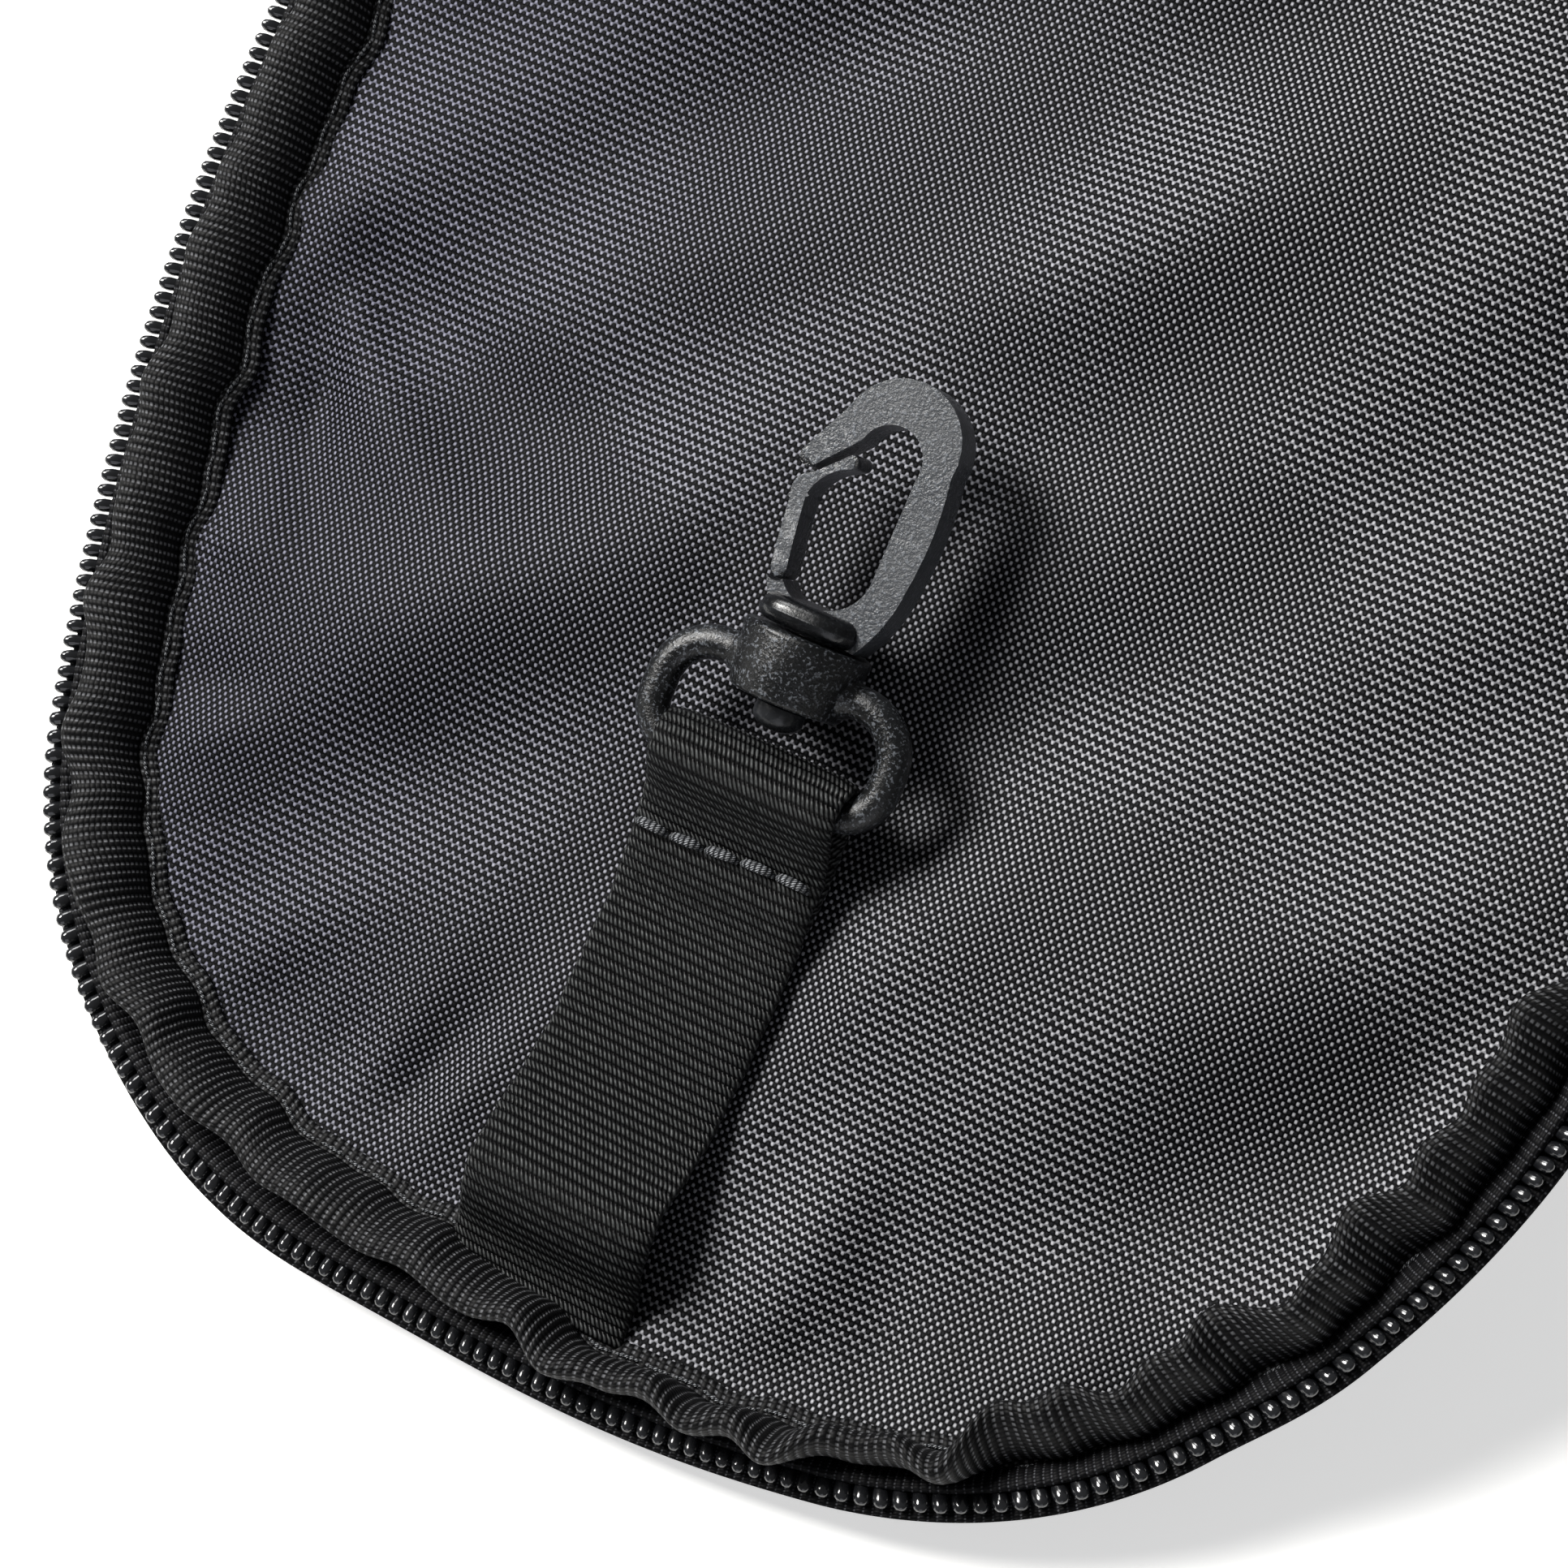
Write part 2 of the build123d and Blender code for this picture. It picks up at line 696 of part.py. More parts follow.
def show_axes():
    """Print the joint axes that the record repeats."""
    spots = {
        "hinge axis": place_lid(Pos(0, 0, 0)),
        "strap fold": place_strap(Pos(0, strap_pivot, strap_pivot_height)),
        "ring bar": place_hook(Pos(0, 0, 0)),
        "gate root": place_hook(Pos(gate_side, gate_root, 0)),
        "hook eye": place_hook(Pos(-0.2, (gate_root + hook_top - 4) / 2, 0)),
    }
    for name, spot in spots.items():
        turn = Plane(spot)
        print(name, "at", tuple(turn.origin), "y", tuple(turn.y_dir), "z", tuple(turn.z_dir))
    for side in (1, -1):
        print("pull axis at", side * pull_axis_x(), hinge_y + slider_start, hinge_height)
    print("lid slope", lid_slope, "hinge height", hinge_height)


os.makedirs("parts", exist_ok=True)
for name, shape in pieces().items():
    export_step(shape, f"parts/{name}.step")
show_axes()
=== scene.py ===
import json
import math

import bmesh
import bpy
import numpy as np
from mathutils import Matrix, Vector


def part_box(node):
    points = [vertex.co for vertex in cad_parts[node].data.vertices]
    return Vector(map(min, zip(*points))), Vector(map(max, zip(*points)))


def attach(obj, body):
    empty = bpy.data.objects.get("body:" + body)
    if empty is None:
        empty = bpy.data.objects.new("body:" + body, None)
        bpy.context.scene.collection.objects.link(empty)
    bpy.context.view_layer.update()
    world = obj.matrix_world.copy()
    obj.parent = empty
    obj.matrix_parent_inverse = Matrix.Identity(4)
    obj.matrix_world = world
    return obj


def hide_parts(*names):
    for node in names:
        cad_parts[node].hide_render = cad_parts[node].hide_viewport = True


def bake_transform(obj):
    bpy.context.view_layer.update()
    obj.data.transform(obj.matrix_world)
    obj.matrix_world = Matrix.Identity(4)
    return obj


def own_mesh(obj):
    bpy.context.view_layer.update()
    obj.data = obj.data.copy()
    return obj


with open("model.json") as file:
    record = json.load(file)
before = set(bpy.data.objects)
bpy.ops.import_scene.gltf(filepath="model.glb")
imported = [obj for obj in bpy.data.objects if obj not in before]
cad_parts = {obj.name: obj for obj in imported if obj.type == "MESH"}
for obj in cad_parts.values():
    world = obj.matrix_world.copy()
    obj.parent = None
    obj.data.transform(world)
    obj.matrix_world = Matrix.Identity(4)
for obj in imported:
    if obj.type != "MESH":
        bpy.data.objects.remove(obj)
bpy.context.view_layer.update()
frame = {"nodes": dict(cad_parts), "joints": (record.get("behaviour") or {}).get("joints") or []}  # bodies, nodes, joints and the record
mm = 0.001
joints = {joint["name"]: joint for joint in frame["joints"]}
backLow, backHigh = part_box("back_panel")
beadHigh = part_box("hinge_bead")[1]
ringLow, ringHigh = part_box("swivel_ring")

# The outline that the tub and the lid share, from the hinge line to the round free end
bag = {
    "length": (backHigh.y - backLow.y) / mm,
    "halfWidth": backHigh.x / mm,
    "straightSide": 115.0,
    "sideRadius": 240.0,
    "cornerRadius": 40.0,
    "endRadius": 165.0,
    "beadRadius": 2.4,
    "liningDrop": 7.04,  # from the hinge axis down to the lid's lining
    "wallHeight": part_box("gusset_shell")[1].z / mm,
}
bag["hingeY"] = backLow.y / mm
bag["hingeHeight"] = beadHigh.z / mm - bag["beadRadius"]
bag["slope"] = math.radians(-joints["lid_fold"]["range_deg"][0] - 180)
print("frame loaded, slope of the lid", round(math.degrees(bag["slope"]), 2))


# Places and numbers


def smooth(value, low, high):
    share = np.clip((np.asarray(value, float) - low) / (high - low), 0, 1)
    return share * share * (3 - 2 * share)


def waves(along, spacing, seed, count=4):
    # a gentle irregular wave from -1 to 1, the same on each run
    draw = np.random.default_rng(seed)
    total = np.zeros_like(np.asarray(along, float))
    for step in range(count):
        length = spacing * draw.uniform(0.6, 1.7)
        total += np.sin(2 * math.pi * along / length + draw.uniform(0, 2 * math.pi))
    return total / (0.62 * count)


def onLid(across, fromHinge, height):
    # across, distance from the hinge line and height over the lining, to metres in the frame
    across, fromHinge, height = np.broadcast_arrays(across, fromHinge, height)
    cos, sin = math.cos(bag["slope"]), math.sin(bag["slope"])
    rise = height - bag["liningDrop"]
    y = bag["hingeY"] - fromHinge * cos - rise * sin
    z = bag["hingeHeight"] - fromHinge * sin + rise * cos
    return np.stack([across, y, z], -1) * mm


def onTub(across, fromHinge, height):
    across, fromHinge, height = np.broadcast_arrays(across, fromHinge, height)
    return np.stack([across, fromHinge + bag["hingeY"], height], -1) * mm


def lidDirection(across, fromHinge, height):
    there = onLid(across, fromHinge, height) - onLid(0, 0, 0)
    return Vector(there.tolist()).normalized()


def traceOutline():
    # x, distance from the hinge, outward normal and path length, from the left hinge end round to the right
    spacing = 0.5
    straight = bag["straightSide"]
    side, corner, end = bag["sideRadius"], bag["cornerRadius"], bag["endRadius"]
    sideX = bag["halfWidth"] - side
    endT = bag["length"] - end
    apart = math.hypot(sideX, endT - straight)
    along = ((side - corner) ** 2 - (end - corner) ** 2 + apart**2) / (2 * apart)
    aside = math.sqrt((side - corner) ** 2 - along**2)
    unitX, unitT = -sideX / apart, (endT - straight) / apart
    cornerX = sideX + along * unitX - aside * unitT
    cornerT = straight + along * unitT + aside * unitX
    low = math.atan2(cornerT - straight, cornerX - sideX)
    high = math.atan2(cornerT - endT, cornerX)
    right = [(bag["halfWidth"], t, 1.0, 0.0) for t in np.arange(0, straight, spacing)]
    arcs = [
        (sideX, straight, side, 0, low),
        (cornerX, cornerT, corner, low, high),
        (0, endT, end, high, math.pi / 2),
    ]
    for centreX, centreT, radius, start, stop in arcs:
        for angle in np.linspace(start, stop, int((stop - start) * radius / spacing), endpoint=False):
            cos, sin = math.cos(angle), math.sin(angle)
            right.append((centreX + radius * cos, centreT + radius * sin, cos, sin))
    left = [(-x, t, -nx, nt) for x, t, nx, nt in right]
    points = np.array(left + [(0, bag["length"], 0, 1)] + right[::-1])
    steps = np.hypot(np.diff(points[:, 0]), np.diff(points[:, 1]))
    return points, np.concatenate([[0], np.cumsum(steps)])


outline, outlinePath = traceOutline()


def rim(start, spacing):
    # evenly spaced places round the rim, which begins and ends that far from the hinge line
    total = outlinePath[-1]
    count = int((total - 2 * start) / spacing) + 1
    path = np.linspace(start, total - start, count)
    values = [np.interp(path, outlinePath, outline[:, k]) for k in range(4)]
    size = np.hypot(values[2], values[3])
    return {
        "path": path,
        "x": values[0],
        "t": values[1],
        "nx": values[2] / size,
        "nt": values[3] / size,
    }


# Making pieces


def finishPiece(name, mesh, body, material, replaced=(), sharp=None, evened=False):
    mesh.materials.append(material)
    mesh.shade_smooth()
    if sharp is not None:
        mesh.set_sharp_from_angle(angle=math.radians(sharp))
    piece = bpy.data.objects.new(name, mesh)
    bpy.context.scene.collection.objects.link(piece)
    if body:
        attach(piece, body)
    if replaced:
        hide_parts(*replaced)
    if evened:  # keeps broad flat faces flat in their shading beside small bevels
        keeper = piece.modifiers.new("evenShading", "WEIGHTED_NORMAL")
        keeper.keep_sharp = True
    return piece


def outwards(mesh):
    work = bmesh.new()
    work.from_mesh(mesh)
    bmesh.ops.recalc_face_normals(work, faces=work.faces)
    work.to_mesh(mesh)
    work.free()


def sweepMesh(name, rings, loop=False, uv=None):
    # rings[i][j] in metres: closed sections along a path, capped at both ends unless the path is a loop
    rings = np.asarray(rings, float)
    count, around = rings.shape[:2]
    if uv is None:
        along = np.linalg.norm(np.diff(rings.mean(1), axis=0), axis=1)
        along = np.concatenate([[0], np.cumsum(along)])
        middle = rings[count // 2]
        girth = np.linalg.norm(np.roll(middle, -1, 0) - middle, axis=1)
        girth = np.concatenate([[0], np.cumsum(girth)])
        uv = np.stack(np.meshgrid(along, girth, indexing="ij"), -1)
    rows = np.arange(count if loop else count - 1)
    i, j = np.meshgrid(rows, np.arange(around), indexing="ij")
    i, j = i.ravel(), j.ravel()
    nextI, nextJ = (i + 1) % count, (j + 1) % around
    quads = np.stack([i * around + j, nextI * around + j, nextI * around + nextJ, i * around + nextJ], 1)
    uvEnd = np.minimum(i + 1, len(uv) - 1)
    coords = np.stack([uv[i, j], uv[uvEnd, j], uv[uvEnd, j + 1], uv[i, j + 1]], 1).reshape(-1, 2)
    faces = quads.tolist()
    if not loop:
        faces.append(list(range(around))[::-1])
        faces.append([(count - 1) * around + k for k in range(around)])
        coords = np.vstack([coords, uv[0, :around][::-1], uv[-1, :around]])
    mesh = bpy.data.meshes.new(name)
    mesh.from_pydata(rings.reshape(-1, 3).tolist(), [], faces)
    layer = mesh.uv_layers.new(name="UVMap")
    layer.data.foreach_set("uv", coords.astype(np.float32).ravel())
    outwards(mesh)
    return mesh


def slabMesh(name, top, bottom, uv):
    # a closed sheet between two grids of points in metres, joined round their edges
    rows, columns = top.shape[:2]
    index = np.arange(rows * columns).reshape(rows, columns)
    offset = rows * columns
    quads = np.stack([index[:-1, :-1], index[1:, :-1], index[1:, 1:], index[:-1, 1:]], -1).reshape(-1, 4)
    edge = np.concatenate([index[0, :-1], index[:-1, -1], index[-1, :0:-1], index[:0:-1, 0]])
    following = np.roll(edge, -1)
    sides = np.stack([edge, following, following + offset, edge + offset], 1)
    faces = np.vstack([quads, quads[:, ::-1] + offset, sides])
    flat = uv.reshape(-1, 2)
    mesh = bpy.data.meshes.new(name)
    mesh.from_pydata(np.vstack([top.reshape(-1, 3), bottom.reshape(-1, 3)]).tolist(), [], faces.tolist())
    layer = mesh.uv_layers.new(name="UVMap")
    layer.data.foreach_set("uv", np.vstack([flat, flat])[faces.ravel()].astype(np.float32).ravel())
    outwards(mesh)
    return mesh


def thereAndBack(there, back):
    # rows for a closed section: out along one side and home along the other
    return np.concatenate([there, back[:, ::-1]], 1)


def tubeRings(points, radii, sides):
    # round sections on a path, carried along it without twisting; flat squeezes them along their normal
    points = np.asarray(points, float)
    radii = np.broadcast_to(radii, len(points))
    tangents = np.gradient(points, axis=0)
    tangents /= np.linalg.norm(tangents, axis=1)[:, None]
    normal = np.cross(tangents[0], [0.31, 0.17, 0.94])
    normal /= np.linalg.norm(normal)
    angles = np.arange(sides) * 2 * math.pi / sides
    rings = []
    for point, tangent, radius in zip(points, tangents, radii):
        normal = normal - tangent * (normal @ tangent)
        normal /= np.linalg.norm(normal)
        second = np.cross(tangent, normal)
        ring = np.outer(np.cos(angles), normal) + np.outer(np.sin(angles), second)
        rings.append(point + ring * radius)
    return np.array(rings)


def joinMeshes(name, meshes):
    work = bmesh.new()
    for mesh in meshes:
        work.from_mesh(mesh)
        bpy.data.meshes.remove(mesh)
    joined = bpy.data.meshes.new(name)
    work.to_mesh(joined)
    work.free()
    return joined


def stitchRow(name, points, normals, thread):
    # a lockstitch along points in metres: each stitch humps over the cloth and dips into its needle holes
    points, normals = np.asarray(points, float), np.asarray(normals, float)
    steps = np.linalg.norm(np.diff(points, axis=0), axis=1)
    path = np.concatenate([[0], np.cumsum(steps)])
    count = max(1, int(path[-1] / (thread["pitch"] * mm)))
    pitch = path[-1] / count
    across = np.linspace(0, 1, 7)
    lift = np.sin(across * math.pi) ** 0.5 * 1.25 - 0.75
    taper = 0.55 + 0.45 * np.sin(across * math.pi) ** 0.5
    meshes = []
    for number in range(count):
        places = (number + 0.06 + 0.88 * across) * pitch
        spots = np.stack([np.interp(places, path, points[:, k]) for k in range(3)], 1)
        ups = np.stack([np.interp(places, path, normals[:, k]) for k in range(3)], 1)
        spots = spots + ups * (lift * thread["radius"] * mm)[:, None]
        rings = tubeRings(spots, thread["radius"] * taper * mm, 6)
        meshes.append(sweepMesh("stitch", rings))
    return joinMeshes(name, meshes)


# Camera, which looks down on the lid's free end, and soft studio light


view = {
    "target": (1.34, 51.55),  # across, and from the free end's seam up the lid
    "distance": 300.0,
    "leanRight": 18.0,  # degrees off the lid's normal
    "leanUp": -0.15,
    "roll": 25.49,
    "focalShare": 2.004,  # focal length over the image's side
}


def makeCamera():
    camera = bpy.data.cameras.new("camera")
    camera.sensor_width = 36.0
    camera.lens = camera.sensor_width * view["focalShare"]
    camera.clip_start = 0.01
    camera.clip_end = 20.0
    leanX, leanB = math.sin(math.radians(view["leanRight"])), math.sin(math.radians(view["leanUp"]))
    outX, outT, outH = leanX, -leanB, math.sqrt(1 - leanX**2 - leanB**2)
    roll = math.radians(view["roll"])
    across, fromEnd = view["target"]
    target = Vector(onLid(across, bag["length"] - fromEnd, 0).tolist())
    back = lidDirection(outX, outT, outH)
    up = lidDirection(-math.sin(roll), -math.cos(roll), 0)
    up = (up - back * up.dot(back)).normalized()
    right = up.cross(back)
    turn = Matrix((right, up, back)).transposed().to_4x4()
    turn.translation = target + back * view["distance"] * mm
    holder = bpy.data.objects.new("camera", camera)
    holder.matrix_world = turn
    bpy.context.scene.collection.objects.link(holder)
    bpy.context.scene.camera = holder
    return holder


lamps = {
    # name: (where from over the lid: across, towards the free end, up), distance, size, power, colour
    "keyBox": ((-0.74, -0.30, 0.90), 0.80, 0.30, 11.0, "#fffdfa"),
    "fillBox": ((0.5, 0.9, 0.7), 1.1, 0.7, 1.5, "#f4f6ff"),
    "topBox": ((-0.55, -0.75, 0.55), 0.9, 0.3, 3.0, "#ffffff"),
}
world = {"colour": "#ffffff", "strength": 0.12}
floorFinish = {"colour": "#f4f4f2", "roughness": 0.7, "reach": 3.0, "glow": 0.55}


def linearColour(code):
    values = [int(code[k : k + 2], 16) / 255 for k in (1, 3, 5)]
    return [v / 12.92 if v <= 0.04045 else ((v + 0.055) / 1.055) ** 2.4 for v in values] + [1.0]


def addNode(material, kind, settings=None, links=None):
    # adds a shader node; settings are its properties or unlinked sockets, links its linked sockets
    made = material.node_tree.nodes.new(kind)
    for key, value in (settings or {}).items():
        if isinstance(value, str) and value.startswith("#"):
            value = linearColour(value)
        if isinstance(key, int) or key in made.inputs:
            made.inputs[key].default_value = value
        else:
            setattr(made, key, value)
    for key, source in (links or {}).items():
        material.node_tree.links.new(source, made.inputs[key])
    return made


def newMaterial(name):
    material = bpy.data.materials.new(name)
    material.use_nodes = True
    material.node_tree.nodes.clear()
    return material


def closeMaterial(material, shader):
    addNode(material, "ShaderNodeOutputMaterial", {}, {"Surface": shader.outputs[0]})
    return material


def makeStudio():
    target = onLid(0, bag["length"] - 60, 0)
    for name, (direction, distance, size, power, colour) in lamps.items():
        light = bpy.data.lights.new(name, "AREA")
        light.shape = "SQUARE"
        light.size = size
        light.energy = power
        light.color = linearColour(colour)[:3]
        lamp = bpy.data.objects.new(name, light)
        way = lidDirection(*direction)
        lamp.location = Vector(target.tolist()) + way * distance
        lamp.rotation_mode = "QUATERNION"
        lamp.rotation_quaternion = way.to_track_quat("Z", "Y")
        bpy.context.scene.collection.objects.link(lamp)
    sky = bpy.data.worlds.new("studioWhite")
    sky.use_nodes = True
    sky.node_tree.nodes["Background"].inputs["Color"].default_value = linearColour(world["colour"])
    sky.node_tree.nodes["Background"].inputs["Strength"].default_value = world["strength"]
    bpy.context.scene.world = sky
    bpy.context.scene.view_settings.view_transform = "Standard"
    paper = newMaterial("seamlessPaper")  # matt card, so the table shows only soft shadow
    shader = addNode(paper, "ShaderNodeBsdfPrincipled",
                     {"Base Color": floorFinish["colour"], "Roughness": floorFinish["roughness"],
                      "Emission Color": "#ffffff", "Emission Strength": floorFinish["glow"]})
    grain = addNode(paper, "ShaderNodeTexNoise", {"Scale": 900.0, "Detail": 2.0})
    bump = addNode(paper, "ShaderNodeBump", {"Strength": 0.05, "Distance": 0.0001},
                   {"Height": grain.outputs[0]})
    paper.node_tree.links.new(bump.outputs[0], shader.inputs["Normal"])
    closeMaterial(paper, shader)
    reach = floorFinish["reach"]
    mesh = bpy.data.meshes.new("floor")
    corners = [(-reach, -reach, 0), (reach, -reach, 0), (reach, reach, 0), (-reach, reach, 0)]
    mesh.from_pydata(corners, [], [(0, 1, 2, 3)])
    mesh.materials.append(paper)
    floor = bpy.data.objects.new("floor", mesh)
    bpy.context.scene.collection.objects.link(floor)


makeCamera()
makeStudio()
print("camera and studio made")


# Finishes, each from what the real one is and how it was made


def calculated(material, operation, *sources):
    return addNode(material, "ShaderNodeMath", {"operation": operation}, dict(enumerate(sources)))


def noise(material, source, size, detail, roughness=0.5):
    # soft random cloudiness, with its size in millimetres
    return addNode(material, "ShaderNodeTexNoise",
                   {"Scale": 1 / (size * mm), "Detail": detail, "Roughness": roughness}, {"Vector": source})


def eased(material, source, low, high, most=1.0):
    # 0 below low, and rising softly to most at high
    return addNode(material, "ShaderNodeMapRange",
                   {"From Min": low, "From Max": high, "To Max": most, "interpolation_type": "SMOOTHSTEP"},
                   {"Value": source})


def blended(material, share, first, second):
    return addNode(material, "ShaderNodeMix", {"data_type": "RGBA", 6: first, 7: second}, {0: share})


def bumpFrom(material, source, strength, distance):
    return addNode(material, "ShaderNodeBump", {"Strength": strength, "Distance": distance},
                   {"Height": source})


def wobbledCloth(material, spread, size):
    # cloth coordinates in metres, moved a little so that the yarns don't run dead straight
    place = addNode(material, "ShaderNodeTexCoord")
    drift = noise(material, place.outputs["UV"], size, 2.0)
    return addNode(material, "ShaderNodeVectorMath",
                   {"operation": "MULTIPLY_ADD", 1: (spread * mm, spread * mm, 0)},
                   {0: drift.outputs["Color"], 2: place.outputs["UV"]})


def yarnColour(material, base, place, spec):
    # slow changes of shade across the cloth, and finer ones from yarn to yarn
    stretched = addNode(material, "ShaderNodeMapping", {"Scale": spec["streak"]},
                        {"Vector": place.outputs[0]})
    streaks = noise(material, stretched.outputs[0], 1.0, 3.0, 0.6)
    shade = addNode(material, "ShaderNodeMapRange",
                    {"From Min": 0.3, "From Max": 0.7, "To Min": 1 - spec["uneven"],
                     "To Max": 1 + spec["uneven"]}, {"Value": streaks.outputs[0]})
    return addNode(material, "ShaderNodeVectorMath", {"operation": "SCALE"},
                   {0: base, "Scale": shade.outputs[0]})


def wovenNylon(name, spec):
    # plain-woven filament nylon: bright floats of one yarn stand over the dark gaps of the other,
    # which gives the eye a fine checker of light beads with a soft shine on each fold;
    # the floats' brightness is painted sheen highlight and the near-black gaps are painted shade between the
    # yarns
    material = newMaterial(name)
    place = wobbledCloth(material, 0.16, 5.0)
    scaled = addNode(material, "ShaderNodeVectorMath",
                     {"operation": "MULTIPLY", 1: (math.pi / (spec["yarnAcross"] * mm),
                                                   math.pi / (spec["yarnAlong"] * mm), 0)},
                     {0: place.outputs[0]})
    sine = addNode(material, "ShaderNodeVectorMath", {"operation": "SINE"}, {0: scaled.outputs[0]})
    parts = addNode(material, "ShaderNodeSeparateXYZ", {}, {0: sine.outputs[0]})
    checker = calculated(material, "MULTIPLY", parts.outputs[0], parts.outputs[1])
    # here and there the yarns lie skewed, and each pair of rows joins into one zigzag line
    patches = noise(material, place.outputs[0], 34, 1.0)
    skew = eased(material, patches.outputs[0], 0.42, 0.58, spec["skew"])
    angles = addNode(material, "ShaderNodeSeparateXYZ", {}, {0: scaled.outputs[0]})
    pairing = calculated(material, "COSINE", angles.outputs[1])
    joined = calculated(material, "MULTIPLY_ADD", pairing.outputs[0], skew.outputs[0], checker.outputs[0])
    share = addNode(material, "ShaderNodeMapRange", {"From Min": -1.0, "From Max": 1.0},
                    {"Value": joined.outputs[0]})
    ramp = addNode(material, "ShaderNodeValToRGB", {}, {"Fac": share.outputs[0]})
    # painted light in the ramp: the float stops carry the yarns' sheen as painted highlight, and the gap
    # stops are painted shade between the yarns
    stops = ramp.color_ramp.elements
    stops[0].position, stops[0].color = 0.0, linearColour(spec["darkYarn"])
    stops[1].position, stops[1].color = 1.0, linearColour(spec["floatTopSheen"])
    for position, code in ((0.27, spec["gap"]), (0.58, spec["gap"]), (0.72, spec["float"])):
        stop = stops.new(position)
        stop.color = linearColour(code)
    colour = yarnColour(material, ramp.outputs[0], place, spec)
    # painted shade: towards the left side the cloth's colour is darkened and given a cool cast
    across = addNode(material, "ShaderNodeSeparateXYZ", {}, {0: place.outputs[0]})
    side = eased(material, across.outputs[0], spec["leftShadeSpan"][0] * mm, spec["leftShadeSpan"][1] * mm)
    leftShade = blended(material, side.outputs[0], spec["leftShadeTint"], spec["rightSideTint"])
    leftShaded = addNode(material, "ShaderNodeVectorMath", {"operation": "MULTIPLY"},
                     {0: colour.outputs[0], 1: leftShade.outputs[2]})
    upper = eased(material, checker.outputs[0], 0.0, 0.9)
    lower = eased(material, checker.outputs[0], 0.0, -0.9, 0.55)
    height = calculated(material, "ADD", upper.outputs[0], lower.outputs[0])
    bump = bumpFrom(material, height.outputs[0], spec["bump"], 0.08 * mm)
    rough = addNode(material, "ShaderNodeMapRange",
                    {"To Min": spec["roughness"] + 0.22, "To Max": spec["roughness"]},
                    {"Value": upper.outputs[0]})
    shader = addNode(material, "ShaderNodeBsdfPrincipled",
                     {"IOR": 1.53, "Sheen Weight": spec["sheen"], "Sheen Roughness": 0.4,
                      "Specular IOR Level": spec["specular"]},
                     {"Base Color": leftShaded.outputs[0], "Roughness": rough.outputs[0],
                      "Normal": bump.outputs[0]})
    return closeMaterial(material, shader)


def ribbedTape(name, spec):
    # a narrow woven tape: ribs run across it, and the warp shows as rows of small light dashes, whose light
    # is painted sheen highlight on the yarns
    material = newMaterial(name)
    place = wobbledCloth(material, 0.16, 3.0)
    scaled = addNode(material, "ShaderNodeVectorMath",
                     {"operation": "DOT_PRODUCT", 1: (math.pi / (spec["rib"] * mm), 0, 0)},
                     {0: place.outputs[0]})
    slanted = addNode(material, "ShaderNodeVectorMath",
                      {"operation": "DOT_PRODUCT",
                       1: (spec["slant"] * math.pi / (spec["dash"] * mm), math.pi / (spec["dash"] * mm), 0)},
                      {0: place.outputs[0]})
    ribSine = calculated(material, "SINE", scaled.outputs["Value"])
    rib = calculated(material, "ABSOLUTE", ribSine.outputs[0])
    dashSine = calculated(material, "SINE", slanted.outputs["Value"])
    dash = calculated(material, "ABSOLUTE", dashSine.outputs[0])
    low, high = spec["sheenRib"]  # the part of each rib, from groove 0 to crest 1, where the dashes show
    lit = eased(material, rib.outputs[0], low, high)
    grain = eased(material, dash.outputs[0], 0.35, 0.95)
    fleck = noise(material, place.outputs[0], 0.7, 2.0)
    some = addNode(material, "ShaderNodeMapRange", {"From Min": 0.35, "From Max": 0.65, "To Min": 0.35},
                   {"Value": fleck.outputs[0]})
    both = calculated(material, "MULTIPLY", lit.outputs[0], grain.outputs[0])
    mask = calculated(material, "MULTIPLY", both.outputs[0], some.outputs[0])
    # painted sheen highlight: the masked dashes take the light colour, the rest keeps the dark yarn colour
    colour = blended(material, mask.outputs[0], spec["dark"], spec["light"])
    shaded = yarnColour(material, colour.outputs[2], place, spec)
    weight = addNode(material, "ShaderNodeMath", {"operation": "MULTIPLY_ADD", 1: spec["grainHeight"]},
                     {0: dash.outputs[0], 2: rib.outputs[0]})
    bump = bumpFrom(material, weight.outputs[0], spec["bump"], spec["relief"] * mm)
    shader = addNode(material, "ShaderNodeBsdfPrincipled",
                     {"Roughness": spec["roughness"], "IOR": 1.53, "Sheen Weight": spec["sheen"],
                      "Sheen Roughness": 0.5, "Specular IOR Level": spec["specular"]},
                     {"Base Color": shaded.outputs[0], "Normal": bump.outputs[0]})
    return closeMaterial(material, shader)


